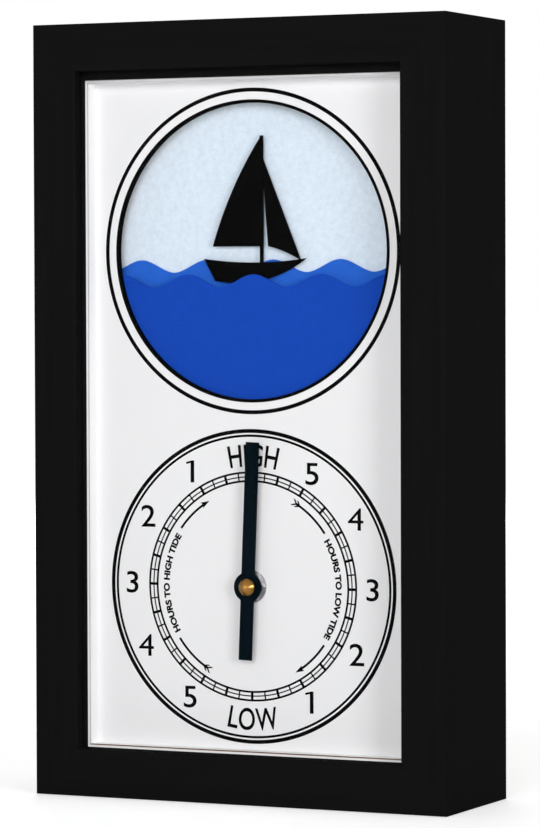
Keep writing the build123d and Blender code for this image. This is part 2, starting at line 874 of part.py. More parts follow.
# Housing of the tide movement, with its threaded bush and an open bay for one AA cell
with BuildPart() as movement_case:
    body_middle = (0, (movement_above - movement_below) / 2)
    extrude(
        panel(
            movement_plane(movement_back),
            movement_width,
            movement_above + movement_below,
            body_middle,
            movement_corner,
        ),
        amount=movement_depth,
    )
    extrude(
        panel(movement_plane(movement_back), train_width, train_height, (0, train_middle)),
        amount=movement_back - movement_floor,
        mode=Mode.SUBTRACT,
    )
    extrude(
        panel(movement_plane(movement_back), train_width, aa_bay_height, (0, aa_cell_rise)),
        amount=movement_back - movement_floor,
        mode=Mode.SUBTRACT,
    )
    extrude(discs(movement_plane(movement_floor), bush_radius), amount=movement_floor - bush_front)
    extrude(
        discs(movement_plane(lid_front), movement_pillar_radius, movement_pillars),
        amount=lid_front - movement_floor,
    )
    extrude(
        discs(movement_plane(stator_front), stator_post_radius, stator_posts),
        amount=stator_front - movement_floor,
    )
    extrude(
        discs(movement_plane(circuit_front), circuit_post_radius, circuit_posts),
        amount=circuit_front - movement_floor,
    )
    extrude(
        discs(movement_plane(movement_floor), hand_shaft_radius + running_clearance),
        amount=movement_floor - bush_front,
        mode=Mode.SUBTRACT,
    )
    extrude(
        discs(movement_plane(movement_floor), arbor_radius + running_clearance, [*long_arbors, set_axis]),
        amount=pivot_sink + running_clearance,
        mode=Mode.SUBTRACT,
    )
    extrude(
        discs(movement_plane(lid_front), movement_screw_radius + press_clearance, movement_pillars),
        amount=movement_screw_length,
        mode=Mode.SUBTRACT,
    )
save(movement_case, "movement_case")

# Lid over the wheel train, with a bearing boss for each arbor
lid_width = train_width - 2 * lid_clearance
lid_height = train_height - 2 * lid_clearance
boss_front = lid_front - pivot_boss_length
with BuildPart() as movement_cover:
    extrude(
        panel(movement_plane(movement_back), lid_width, lid_height, (0, train_middle)),
        amount=movement_wall,
    )
    bearings = [*long_arbors, hand_axis, set_axis]
    extrude(discs(movement_plane(lid_front), pivot_boss_radius, bearings), amount=pivot_boss_length)
    bearing_plane = movement_plane(arbor_back + running_clearance)
    bearing_depth = arbor_back + running_clearance - boss_front
    extrude(
        discs(bearing_plane, arbor_radius + running_clearance, long_arbors),
        amount=bearing_depth,
        mode=Mode.SUBTRACT,
    )
    extrude(
        discs(bearing_plane, centre_arbor_radius + running_clearance),
        amount=bearing_depth,
        mode=Mode.SUBTRACT,
    )
    extrude(
        discs(movement_plane(movement_back), arbor_radius + running_clearance, [set_axis]),
        amount=movement_back - boss_front,
        mode=Mode.SUBTRACT,
    )
    extrude(
        discs(movement_plane(movement_back), movement_screw_radius + press_clearance, movement_pillars),
        amount=movement_wall,
        mode=Mode.SUBTRACT,
    )
save(movement_cover, "movement_cover")

# Screws of the movement's lid
with BuildPart() as movement_screws:
    add(
        screws(
            movement_plane,
            movement_pillars,
            movement_back,
            movement_screw_radius,
            movement_screw_length,
            movement_screw_head_radius,
            movement_screw_head_height,
        )
    )
save(movement_screws, "movement_screws")

# Washer and hexagon nut that clamp the movement to the dial
washer_front = dial_front - bush_washer_thickness
with BuildPart() as bush_washer:
    with BuildSketch(movement_plane(dial_front)):
        Circle(bush_washer_radius)
        Circle(bush_radius + bush_hole_clearance, mode=Mode.SUBTRACT)
    extrude(amount=bush_washer_thickness)
save(bush_washer, "bush_washer")

with BuildPart() as bush_nut:
    with BuildSketch(movement_plane(washer_front)):
        RegularPolygon(bush_nut_across_flats / 2, 6, major_radius=False)
        Circle(bush_radius + press_clearance, mode=Mode.SUBTRACT)
    extrude(amount=bush_nut_thickness)
save(bush_nut, "bush_nut")

# Hand wheel and the shaft that carries the hand
hand_layer_front, hand_layer_back = layer(0)
with BuildPart() as hand_wheel:
    extrude(
        gear_face(
            movement_plane(hand_layer_back),
            hand_axis,
            hand_wheel_teeth,
            motion_module,
            0.0,
            wheel_flank_steps,
        ),
        amount=wheel_thickness,
    )
    extrude(discs(movement_plane(hand_layer_front), hand_shaft_radius), amount=hand_layer_front - hand_back)
    extrude(discs(movement_plane(hand_back), hand_stub_radius), amount=hand_stub_length)
    extrude(
        discs(movement_plane(hand_layer_back), centre_arbor_radius + running_clearance),
        amount=wheel_thickness,
        mode=Mode.SUBTRACT,
    )
save(hand_wheel, "hand_wheel")

# Motion wheel and pinion on one arbor
motion_layer_front, motion_layer_back = layer(1)
with BuildPart() as motion_wheel:
    extrude(
        gear_face(
            movement_plane(motion_layer_back),
            motion_axis,
            motion_wheel_teeth,
            motion_module,
            0.0,
            wheel_flank_steps,
        ),
        amount=wheel_thickness,
    )
    extrude(
        gear_face(
            movement_plane(hand_layer_back),
            motion_axis,
            motion_pinion_teeth,
            motion_module,
            mesh_phase(motion_pinion_teeth, hand_wheel_teeth, motion_bearing),
            pinion_flank_steps,
        ),
        amount=wheel_thickness,
    )
    extrude(discs(movement_plane(motion_layer_front), collar_radius, [motion_axis]), amount=layer_gap)
    extrude(discs(movement_plane(arbor_back), arbor_radius, [motion_axis]), amount=arbor_back - arbor_front)
save(motion_wheel, "motion_wheel")

# Centre pinion, which slips on the centre arbor when the hand is set
with BuildPart() as centre_pinion:
    extrude(
        gear_face(
            movement_plane(motion_layer_back),
            hand_axis,
            centre_pinion_teeth,
            motion_module,
            mesh_phase(centre_pinion_teeth, motion_wheel_teeth, motion_bearing + 180),
            pinion_flank_steps,
        ),
        amount=wheel_thickness,
    )
    extrude(
        discs(movement_plane(motion_layer_back), centre_arbor_radius + running_clearance),
        amount=wheel_thickness,
        mode=Mode.SUBTRACT,
    )
save(centre_pinion, "centre_pinion")

# Setting gear with its arbor and the fluted knob behind the lid
knob_front = movement_back + knob_lift
knob_back = knob_front + knob_thickness
with BuildPart() as set_knob:
    extrude(
        gear_face(
            movement_plane(motion_layer_back),
            set_axis,
            set_gear_teeth,
            motion_module,
            mesh_phase(set_gear_teeth, motion_wheel_teeth, set_bearing),
            pinion_flank_steps,
        ),
        amount=wheel_thickness,
    )
    extrude(discs(movement_plane(knob_front), arbor_radius, [set_axis]), amount=knob_front - arbor_front)
    with BuildSketch(movement_plane(knob_back)):
        with Locations(set_axis):
            Circle(knob_radius)
            with PolarLocations(knob_radius, knob_flutes):
                Circle(knob_flute_radius, mode=Mode.SUBTRACT)
    extrude(amount=knob_thickness)
save(set_knob, "set_knob")

# Centre wheel on the arbor that runs from the hand wheel to the lid
centre_layer_back = layer(2)[1]
with BuildPart() as centre_wheel:
    extrude(
        gear_face(
            movement_plane(centre_layer_back),
            hand_axis,
            centre_wheel_teeth,
            train_module,
            0.0,
            wheel_flank_steps,
        ),
        amount=wheel_thickness,
    )
    extrude(
        discs(movement_plane(arbor_back), centre_arbor_radius),
        amount=arbor_back - hand_layer_front - running_clearance,
    )
save(centre_wheel, "centre_wheel")

# Third and second wheels, each with the pinion that drives the next slower wheel
train_wheels = [
    ("third_wheel", third_axis, third_wheel_teeth, centre_wheel_teeth, third_bearing, 3),
    ("second_wheel", second_axis, second_wheel_teeth, third_wheel_teeth, second_bearing, 4),
]
for name, axis, teeth, driven_teeth, bearing, number in train_wheels:
    wheel_front, wheel_back = layer(number)
    pinion_back = layer(number - 1)[1]
    with BuildPart() as train_wheel:
        extrude(
            gear_face(movement_plane(wheel_back), axis, teeth, train_module, 0.0, wheel_flank_steps),
            amount=wheel_thickness,
        )
        extrude(
            gear_face(
                movement_plane(pinion_back),
                axis,
                train_pinion_teeth,
                train_module,
                mesh_phase(train_pinion_teeth, driven_teeth, bearing),
                pinion_flank_steps,
            ),
            amount=wheel_thickness,
        )
        extrude(discs(movement_plane(wheel_front), collar_radius, [axis]), amount=layer_gap)
        extrude(discs(movement_plane(arbor_back), arbor_radius, [axis]), amount=arbor_back - arbor_front)
    save(train_wheel, name)

# Magnet rotor and its pinion
rotor_magnet_back = stator_middle + rotor_magnet_length / 2
with BuildPart() as rotor:
    extrude(
        gear_face(
            movement_plane(layer(4)[1]),
            rotor_axis,
            train_pinion_teeth,
            train_module,
            mesh_phase(train_pinion_teeth, second_wheel_teeth, rotor_bearing),
            pinion_flank_steps,
        ),
        amount=wheel_thickness,
    )
    extrude(
        discs(movement_plane(rotor_magnet_back), rotor_magnet_radius, [rotor_axis]),
        amount=rotor_magnet_length,
    )
    extrude(discs(movement_plane(arbor_back), arbor_radius, [rotor_axis]), amount=arbor_back - arbor_front)
save(rotor, "rotor")

# Stator plate: a ring round the rotor, the core of the coil and an arm that closes the loop
stator_core_bottom = stator_foot_z - stator_arm_width / 2
stator_core_top = rotor_axis[1] - stator_hole_radius
stator_arm_top = rotor_axis[1] + stator_arm_width / 2
with BuildPart() as stator:
    with BuildSketch(movement_plane(stator_back)):
        with Locations(rotor_axis):
            Circle(stator_hole_radius + stator_ring)
        with Locations((rotor_axis[0], (stator_core_bottom + stator_core_top) / 2)):
            Rectangle(stator_core_width, stator_core_top - stator_core_bottom)
        with Locations((stator_arm_x, (stator_core_bottom + stator_arm_top) / 2)):
            Rectangle(stator_arm_width, stator_arm_top - stator_core_bottom)
        with Locations(((stator_arm_x + rotor_axis[0]) / 2, stator_foot_z)):
            Rectangle(stator_arm_offset, stator_arm_width)
        with Locations(((stator_arm_x + rotor_axis[0]) / 2, rotor_axis[1])):
            Rectangle(stator_arm_offset, stator_arm_width)
        with Locations(rotor_axis):
            Circle(stator_hole_radius, mode=Mode.SUBTRACT)
    extrude(amount=stator_thickness)
save(stator, "stator")

# Coil wound round the core of the stator
coil_plane = Plane(
    origin=(
        rotor_axis[0],
        stator_middle - case_depth / 2,
        dial_height + rotor_axis[1] - stepper_coil_drop,
    )
)
with BuildPart() as stepper_coil:
    with BuildSketch(coil_plane):
        Circle(stepper_coil_radius)
    extrude(amount=stepper_coil_length / 2, both=True)
    for end in (-1, 1):
        with BuildSketch(coil_plane.offset(end * stepper_coil_length / 2)):
            Circle(stepper_flange_radius)
        extrude(amount=-end * stepper_flange_thickness)
    with BuildSketch(coil_plane):
        Rectangle(stator_core_width + 2 * running_clearance, stator_thickness + 2 * running_clearance)
    extrude(amount=stepper_coil_length, both=True, mode=Mode.SUBTRACT)
save(stepper_coil, "stepper_coil")

# Circuit board and quartz crystal of the movement
with BuildPart() as circuit_board:
    extrude(
        panel(movement_plane(circuit_back), circuit_width, circuit_height, (circuit_x, circuit_z)),
        amount=circuit_thickness,
    )
save(circuit_board, "circuit_board")

crystal_plane = Plane(
    origin=(circuit_x, circuit_back + crystal_radius - case_depth / 2, dial_height + circuit_z)
)
with BuildPart() as quartz_crystal:
    with BuildSketch(crystal_plane):
        Circle(crystal_radius)
    extrude(amount=crystal_length / 2, both=True)
save(quartz_crystal, "quartz_crystal")

# Cells with their end contacts: a flat plate at the nub and a sprung leaf at the base
cells = [
    (
        "c",
        (c_cell_right, c_cell_depth, pivot_height + c_cell_rise),
        (c_cell_radius, c_cell_length, c_nub_radius, c_nub_height, c_bay_length),
    ),
    (
        "aa",
        (aa_cell_right, aa_cell_depth, dial_height + aa_cell_rise),
        (aa_cell_radius, aa_cell_length, aa_nub_radius, aa_nub_height, train_width),
    ),
]
for name, (right, depth, height), (radius, length, nub_radius, nub_height, bay_length) in cells:
    nub_plane = Plane(origin=(right, depth - case_depth / 2, height), z_dir=(-1, 0, 0))
    with BuildPart() as cell:
        with BuildSketch(nub_plane):
            Circle(nub_radius)
        extrude(amount=nub_height)
        with BuildSketch(nub_plane.offset(nub_height)):
            Circle(radius)
        extrude(amount=length - nub_height)
        fillet(cell.edges().filter_by(GeomType.CIRCLE).group_by(SortBy.LENGTH)[-1], radius=edge_round)
    save(cell, f"{name}_cell")

    with BuildPart() as positive_contact:
        with BuildSketch(nub_plane):
            Rectangle(radius, radius)
        extrude(amount=-contact_thickness)
    save(positive_contact, f"{name}_contact_positive")

    leaf_room = bay_length - contact_thickness - length
    leaf_tip = length + contact_thickness
    leaf_plane = Plane(origin=nub_plane.origin, x_dir=(-1, 0, 0), z_dir=(0, -1, 0))
    with BuildPart() as negative_contact:
        with BuildSketch(leaf_plane):
            with BuildLine():
                Polyline(
                    (length + leaf_room, -radius / 2),
                    (length, 0),
                    (length + leaf_room, radius / 2),
                    (length + leaf_room, radius / 2 - contact_thickness),
                    (leaf_tip, 0),
                    (length + leaf_room, contact_thickness - radius / 2),
                    close=True,
                )
            make_face()
        extrude(amount=radius / 2, both=True)
    save(negative_contact, f"{name}_contact_negative")

# Tide hand, a plain bar with a round hub
with BuildPart() as tide_hand:
    turn = radians(hand_angle)
    with BuildSketch(
        Plane(
            origin=(0, hand_back - case_depth / 2, dial_height),
            x_dir=(cos(turn), 0, -sin(turn)),
            z_dir=(0, -1, 0),
        )
    ):
        Circle(hand_hub_radius)
        with Locations((0, (hand_reach - hand_tail) / 2)):
            Rectangle(hand_width, hand_reach + hand_tail)
        Circle(hand_stub_radius + press_clearance, mode=Mode.SUBTRACT)
    extrude(amount=hand_thickness)
save(tide_hand, "tide_hand")

# Cone nut that holds the hand
stub_sink = hand_stub_length - hand_thickness + running_clearance
with BuildPart() as hand_nut:
    nut_plane = Plane(
        origin=(0, hand_front - case_depth / 2, dial_height), x_dir=(1, 0, 0), z_dir=(0, 0, 1)
    )
    with BuildSketch(nut_plane):
        with BuildLine():
            Polyline(
                (0, 0),
                (hand_nut_radius, 0),
                (hand_nut_radius, -hand_nut_rim),
                (hand_nut_tip_radius, -hand_nut_height),
                (0, -hand_nut_height),
                close=True,
            )
        make_face()
    revolve(axis=Axis(nut_plane.origin, (0, 1, 0)))
    extrude(
        discs(movement_plane(hand_front), hand_stub_radius + press_clearance),
        amount=stub_sink,
        mode=Mode.SUBTRACT,
    )
save(hand_nut, "hand_nut")
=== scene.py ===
import json
from math import cos, pi, radians, sin

import bmesh
import bpy
from bpy.props import FloatProperty, FloatVectorProperty, IntProperty, PointerProperty
from bpy.types import Operator, Panel, PropertyGroup
from mathutils import Matrix, Vector


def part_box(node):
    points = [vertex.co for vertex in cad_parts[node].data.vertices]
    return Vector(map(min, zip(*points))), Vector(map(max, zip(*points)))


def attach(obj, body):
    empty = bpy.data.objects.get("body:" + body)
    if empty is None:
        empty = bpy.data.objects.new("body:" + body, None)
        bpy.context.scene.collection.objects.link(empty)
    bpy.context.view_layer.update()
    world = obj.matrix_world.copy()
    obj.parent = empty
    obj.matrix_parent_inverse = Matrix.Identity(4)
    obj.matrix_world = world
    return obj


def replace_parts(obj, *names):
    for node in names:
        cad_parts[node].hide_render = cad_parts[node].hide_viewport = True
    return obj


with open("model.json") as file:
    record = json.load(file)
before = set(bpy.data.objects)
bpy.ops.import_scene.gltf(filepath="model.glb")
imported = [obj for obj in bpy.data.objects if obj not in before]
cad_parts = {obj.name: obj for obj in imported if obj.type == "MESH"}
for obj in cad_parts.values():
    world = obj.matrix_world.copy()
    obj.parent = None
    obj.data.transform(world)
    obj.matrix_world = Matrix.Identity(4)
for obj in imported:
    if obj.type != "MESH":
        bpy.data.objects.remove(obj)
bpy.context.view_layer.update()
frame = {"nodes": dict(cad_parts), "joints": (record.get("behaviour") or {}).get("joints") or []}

bl_info = {
    "name": "Tide Clock Dressing",
    "version": (1, 0, 0),
    "blender": (4, 5, 0),
    "location": "3D View > Sidebar > Tide Clock",
    "description": "Prints the dial and finishes every piece of a box-framed tide clock",
    "category": "Object",
}

MM = 0.001
MICRON = 0.000001
MERGE_DISTANCE = 0.1 * MICRON
FULL_TURN = 2 * pi
HOURS_ROUND = 12
# Steps round a printed ring, an arrow's shaft, a large round and a small one
RING_STEPS = 192
SHAFT_STEPS = 24
LARGE_ROUND_STEPS = 96
SMALL_ROUND_STEPS = 32
# The angle between faces from which their edge stays sharp
SHARP_ANGLE = radians(35)

# Places in the frame that pieces are measured from
JOINT_PLACES = {joint["name"]: Vector(joint["pos_m"]) for joint in frame["joints"]}
HAND_AXIS = JOINT_PLACES["hand_spin"]
KNOB_AXIS = JOINT_PLACES["set_knob_spin"]
DIAL_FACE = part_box("dial_plate")[0].y
PICTURE_LOW, PICTURE_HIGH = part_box("picture_spacer")
PORTHOLE_AXIS = (PICTURE_LOW + PICTURE_HIGH) / 2
# Stands a flat shape up, so that it faces the front
UPRIGHT = Matrix.Rotation(pi / 2, 4, "X")

# How far each number stands from its even place on the clock, across and up in millimetres
NUMBER_SHIFTS = {
    1: (0.2, -0.2),
    2: (-0.2, 1.5),
    3: (0.0, 0.0),
    4: (0.2, 0.6),
    5: (-0.2, 0.2),
    7: (-1.4, 0.4),
    8: (-1.8, 1.4),
    9: (-0.9, 0.4),
    10: (-0.7, 1.0),
    11: (0.0, 0.0),
}
# Outline of a figure one with a flag, in parts of its height
FLAGGED_ONE = (
    (0.09, -0.5),
    (0.09, 0.5),
    (-0.03, 0.5),
    (-0.325, 0.42),
    (-0.3, 0.33),
    (-0.09, 0.385),
    (-0.09, -0.5),
)
# The captions and the clock angle of the middle of each, in degrees
CAPTIONS = {"HOURS TO LOW TIDE": 90.5, "HOURS TO HIGH TIDE": 271}
# Outlines of an arrow's point and of one barb of its tail, along and across the shaft in millimetres
ARROW_POINT = ((0.0, 0.0), (-3.9, 1.25), (-3.2, 0.0), (-3.9, -1.25))
ARROW_BARB = ((0.5, 0.0), (-1.3, 1.4), (-2.2, 1.4), (-0.5, 0.0), (-2.2, -1.4), (-1.3, -1.4))
# Outline of the point of the knob's arrow, along and across it in millimetres
SIGN_POINT = ((2.0, 0.0), (-0.4, 1.3), (-0.4, -1.3))
# Boldness of the print; a bolder four would lose its counter
FIGURE_WEIGHT = 0.007
FOUR_WEIGHT = 0.001
WORD_WEIGHT = 0.012
CAPTION_WEIGHT = 0.05

# A pan head screw: radii in parts of its head's radius, heights in parts of its head's height
SHANK_RADIUS = 0.48
HEAD_PROFILE = ((1.0, 0.0), (1.0, 0.5), (0.95, 0.8), (0.8, 1.0))
RECESS_HALF = 0.13
RECESS_REACH = 0.55
RECESS_DEPTH = 0.55
RECESS_FLOOR = 0.7

# Sockets of a Mix node that blends colours
MIX_INPUTS = (0, 6, 7)
MIX_RESULT = 2
WOOD_STRETCH = 0.03
TOOL_MARK_DEPTH = 4 * MICRON
# Half the width of the soft edge between the two colours of a cell's wrap
BAND_EDGE = 0.05 * MM


def length(name, description, millimetres):
    """A length property, given in millimetres and kept in metres."""
    return FloatProperty(
        name=name, description=description, default=millimetres * MM, min=0, unit="LENGTH", precision=5
    )


def colour(name, description, default):
    """A colour property without alpha."""
    return FloatVectorProperty(
        name=name, description=description, default=default, min=0, max=1, size=3, subtype="COLOR"
    )


def angle(name, description, degrees):
    """An angle property, given in degrees."""
    return FloatProperty(name=name, description=description, default=radians(degrees), subtype="ANGLE")


def level(name, description, default, unit="NONE"):
    """A plain number, or one with a unit."""
    return FloatProperty(name=name, description=description, default=default, unit=unit)


def point(name, description, metres):
    """A place, given in metres."""
    return FloatVectorProperty(
        name=name, description=description, default=metres, size=3, subtype="TRANSLATION", unit="LENGTH"
    )


def direction(name, description, default):
    """A direction."""
    return FloatVectorProperty(
        name=name, description=description, default=default, size=3, subtype="DIRECTION"
    )


class ClockPrint(PropertyGroup):
    """Sizes and colour of the print on the dial plate and of the line on the fillet"""

    ink: colour("Ink", "Colour of the print", (0.0012, 0.0012, 0.0013))
    ink_height: length("Ink height", "How far the print stands off the dial plate", 0.08)
    fillet_line_width: length("Fillet line width", "Width of the line along the fillet's edge", 0.5)
    fillet_line_height: length("Fillet line height", "How far that line stands off the fillet", 0.08)
    porthole_band_inner: length("Porthole band, inner", "Inner radius of the band round the porthole", 60.24)
    porthole_band_outer: length("Porthole band, outer", "Outer radius of the band round the porthole", 61.55)
    porthole_line_inner: length("Porthole line, inner", "Inner radius of the line round the band", 64.7)
    porthole_line_outer: length("Porthole line, outer", "Outer radius of the line round the band", 66.3)
    dial_band_inner: length("Dial band, inner", "Inner radius of the dial's outer band", 62.62)
    dial_band_outer: length("Dial band, outer", "Outer radius of the dial's outer band", 64.2)
    dial_line_inner: length("Dial line, inner", "Inner radius of the line inside the band", 60.98)
    dial_line_outer: length("Dial line, outer", "Outer radius of the line inside the band", 61.96)
    hour_ring_outer: length("Hour ring, outer", "Radius of the hour ring's outer line", 46.5)
    hour_ring_middle: length("Hour ring, middle", "Radius of the hour ring's middle line", 44.7)
    hour_ring_inner: length("Hour ring, inner", "Radius of the hour ring's inner line", 43.0)
    hour_ring_line: length("Hour ring line", "Width of the hour ring's outer and inner line", 0.82)
    hour_ring_fine_line: length("Hour ring fine line", "Width of the hour ring's middle line", 0.492)
    half_hours: IntProperty(name="Half hours", description="Marks on the hour ring", default=24, min=12)
    mark_width: length("Mark width", "Width of a half-hour mark", 1.1)
    quarter_width: length("Quarter width", "Width of the marks between them", 0.6)
    number_radius: length("Number radius", "Radius on which the numbers stand", 53.7)
    number_height: length("Number height", "Height of the numbers", 9.0)
    number_stretch: level("Number stretch", "How much wider the numbers are than the letter's own", 1.14)
    word_height: length("Word height", "Height of the two tide words", 9.2)
    high_radius: length("Upper word radius", "Radius on which the upper tide word stands", 53.4)
    high_width: length("Upper word width", "Width of the upper tide word", 22.2)
    high_turn: angle("Upper word turn", "Turn of the upper tide word off the middle", 0.85)
    low_radius: length("Lower word radius", "Radius on which the lower tide word stands", 54.2)
    low_width: length("Lower word width", "Width of the lower tide word", 22.2)
    low_turn: angle("Lower word turn", "Turn of the lower tide word off the middle", -0.6)
    caption_radius: length("Caption radius", "Radius of the foot of the captions", 37.4)
    caption_height: length("Caption height", "Height of the captions", 2.8)
    caption_sweep: angle("Caption sweep", "Arc that a caption covers", 64.5)
    caption_gap: angle("Caption gap", "Arc between a caption and the shafts beside it", 2.6)
    arrow_radius: length("Arrow radius", "Radius of the arrows' shafts", 39.5)
    arrow_line: length("Arrow line", "Width of the arrows' shafts", 0.95)
    arrow_sweep: angle("Arrow sweep", "Arc from the tail of an arrow to its point", 120.0)
    arrow_neck: angle("Arrow neck", "Arc from the end of a shaft to the tip of its point", 3.0)
    barb_step: angle("Barb step", "Arc between the two barbs of a tail", 2.4)


class ClockColours(PropertyGroup):
    """Colours of the pieces"""

    frame: colour("Frame", "Satin paint on the rails", (0.0064, 0.0064, 0.0065))
    dial: colour("Dial", "Ground of the dial plate", (0.80, 0.80, 0.81))
    board: colour("Board", "Raw edge of the boards", (0.36, 0.23, 0.12))
    mount_board: colour("Mount board", "Raw board behind the picture", (0.42, 0.35, 0.26))
    fillet: colour("Fillet", "Sheet round the dial", (0.94, 0.94, 0.94))
    # Brown of the fillet's edge line below and at the right: part raw board core, part painted shadow of the
    # gap at the dial
    fillet_line: colour("Fillet line", "Board core at the fillet's edge", (0.16, 0.085, 0.04))
    # Painted shadow: grey of the fillet's edge line at the top and the left, the shadow of the gap at the
    # dial
    fillet_seam: colour("Fillet seam", "Closed seam at the fillet's edge", (0.60, 0.57, 0.62))
    sky: colour("Sky", "Paper behind the picture", (0.66, 0.755, 0.855))
    sea: colour("Sea", "Card of the front waves", (0.0065, 0.058, 0.42))
    swell: colour("Swell", "Card of the rear waves", (0.02, 0.12, 0.58))
    boat: colour("Boat", "Card of the boat", (0.0012, 0.0012, 0.0013))
    hand: colour("Hand", "Paint of the hand", (0.001, 0.0042, 0.0068))
    brass: colour("Brass", "Metal of the hand's nut", (0.29, 0.145, 0.033))
    steel: colour("Steel", "Zinc-plated fixings", (0.62, 0.62, 0.64))
    pine: colour("Pine", "Raw strips behind the dial", (0.52, 0.36, 0.20))
    housing: colour("Housing", "Moulded housings", (0.012, 0.012, 0.013))
    wheels: colour("Wheels", "Moulded wheels", (0.72, 0.70, 0.64))
    knob: colour("Knob", "Setting knob", (0.45, 0.03, 0.02))
    copper: colour("Copper", "Enamelled windings", (0.60, 0.22, 0.08))
    circuit: colour("Circuit", "Coated circuit boards", (0.015, 0.12, 0.045))
    wrap: colour("Wrap", "Wrap of the cells", (0.27, 0.29, 0.32))
    wrap_band: colour("Wrap band", "Band at one end of the cells", (0.018, 0.024, 0.034))


class ClockFixings(PropertyGroup):
    """Sizes of the nut, the screws, the moulded signs and the cells' bands"""

    nut_rim: length("Nut rim", "Height of the cone nut's straight rim", 1.0)
    nut_tip: length("Nut tip", "Radius of the cone nut's blunt tip", 0.7)
    nut_edge: length("Nut edge", "Width of the cone nut's rounded edges", 0.3)
    nut_bore: length("Nut bore", "Radius of the bore in the cone nut", 1.51)
    nut_bore_depth: length("Nut bore depth", "Depth of the bore in the cone nut", 2.05)
    screw_head: length("Screw head", "Height of the screws' pan heads", 1.5)
    small_screw_head: length("Small screw head", "Height of the movement screws' pan heads", 0.9)
    sign_height: length("Sign height", "How far the moulded signs stand up", 0.3)
    sign_size: length("Sign size", "Length of the bars of the pole signs", 3.6)
    sign_line: length("Sign line", "Width of the lines of the signs", 0.8)
    sign_inset: length("Sign inset", "From the edge beside the cell to the pole signs", 4.2)
    sign_reach: length("Sign reach", "From the end of the cover to the pole signs", 11.0)
    knob_arrow_gap: length("Knob arrow gap", "From the knob to the middle of its arrow's line", 1.6)
    knob_arrow_start: angle("Knob arrow start", "Clock angle at which the knob's arrow starts", 100.0)
    knob_arrow_sweep: angle("Knob arrow sweep", "Arc that the knob's arrow covers", 110.0)
    band_share: level("Band share", "Part of a cell's length that its band covers", 0.3)


class ClockStage(PropertyGroup):
    """Floor, light and camera"""

    floor: colour("Floor", "Colour of the floor", (0.9, 0.9, 0.9))
    floor_radius: length("Floor radius", "Radius of the floor", 40000.0)
    floor_gap: length("Floor gap", "How far the floor lies below the clock", 0.2)
    near_glow: level("Near glow", "Glow of the floor near the clock", 0.45)
    near_reach: length("Near reach", "Distance up to which the near glow holds", 250.0)
    far_glow: level("Far glow", "Glow of the floor far from the clock", 0.7)
    far_reach: length("Far reach", "Distance from which the far glow holds", 1200.0)
    world_light: level("World light", "Level of the light from all round", 0.37)
    lamp_aim: length("Lamp aim", "Height that the lamps point at", 160.0)
    key_power: level("Key power", "Power of the large front lamp", 19.5, "POWER")
    key_size: length("Key size", "Side of the large front lamp", 1100.0)
    key_place: point("Key place", "Where the large front lamp hangs", (0.3, -2.0, 0.7))
    side_power: level("Side power", "Power of the lamp at the right", 13.0, "POWER")
    side_size: length("Side size", "Side of the lamp at the right", 600.0)
    side_place: point("Side place", "Where the lamp at the right hangs", (1.6, -1.15, 0.45))
    back_power: level("Back power", "Power of the lamp behind", 22.0, "POWER")
    back_size: length("Back size", "Side of the lamp behind", 1100.0)
    back_place: point("Back place", "Where the lamp behind hangs", (-0.9, 2.0, 0.9))
    lens: level("Lens", "Focal length of the camera in millimetres", 174.2, "CAMERA")
    camera_place: point("Camera place", "Where the camera stands", (0.7028, -1.4856, 0.2065))
    camera_view: direction("Camera view", "Which way the camera looks", (-0.4271, 0.9037, -0.0299))
    camera_up: direction("Camera up", "Which way is up in the picture", (-0.0100, 0.0283, 0.9995))


# Shader nodes


def feed(tree, socket, value):
    """Gives a socket a link or a constant; a colour comes without its alpha."""
    if isinstance(value, bpy.types.NodeSocket):
        tree.links.new(value, socket)
    elif socket.type == "RGBA":
        socket.default_value = (*value, 1)
    else:
        socket.default_value = value


def feed_named(tree, sockets, values):
    """Feeds the sockets that keywords name, in which an underscore stands for a space."""
    for name, value in values.items():
        feed(tree, sockets[name.replace("_", " ")], value)


def add_node(tree, kind, **values):
    """A new shader node with some of its inputs fed."""
    node = tree.nodes.new("ShaderNode" + kind)
    feed_named(tree, node.inputs, values)
    return node


def noise(tree, vector, scale, detail=3.0, roughness=0.5):
    """A noise texture on the vector."""
    node = add_node(tree, "TexNoise", Vector=vector, Scale=scale, Detail=detail, Roughness=roughness)
    return node.outputs["Fac"]


def maths(tree, operation, first, second, clamp=False):
    """One step of arithmetic; each side is a number or a socket."""
    node = tree.nodes.new("ShaderNodeMath")
    node.operation = operation
    node.use_clamp = clamp
    feed(tree, node.inputs[0], first)
    feed(tree, node.inputs[1], second)
    return node.outputs["Value"]


def vector_maths(tree, operation, first, second=(0, 0, 0)):
    """One step of arithmetic on vectors, or the length of one."""
    node = tree.nodes.new("ShaderNodeVectorMath")
    node.operation = operation
    feed(tree, node.inputs[0], first)
    feed(tree, node.inputs[1], second)
    return node.outputs["Value" if operation == "LENGTH" else "Vector"]


def spread(tree, value, low, high, to_low=0.0, to_high=1.0):
    """A value between low and high, spread between to_low and to_high."""
    node = add_node(
        tree, "MapRange", Value=value, From_Min=low, From_Max=high, To_Min=to_low, To_Max=to_high
    )
    return node.outputs["Result"]


def weigh(tree, first, share, second):
    """The mean of two values, in which the first has the given share."""
    rest = maths(tree, "MULTIPLY", second, 1 - share)
    return maths(tree, "ADD", maths(tree, "MULTIPLY", first, share), rest)


def blend_colours(tree, factor, first, second):
    """Two colours blended by a factor; each colour is a triple or a socket."""
    node = tree.nodes.new("ShaderNodeMix")
    node.data_type = "RGBA"
    for index, value in zip(MIX_INPUTS, (factor, first, second)):
        feed(tree, node.inputs[index], value)
    return node.outputs[MIX_RESULT]


def choose(tree, factor, first, second, output):
    """Shows the first shader where the factor is 0 and the second where it is 1."""
    node = tree.nodes.new("ShaderNodeMixShader")
    for socket, value in zip(node.inputs, (factor, first, second)):
        feed(tree, socket, value)
    feed(tree, tree.nodes[output].inputs["Surface"], node.outputs["Shader"])


# Shader groups


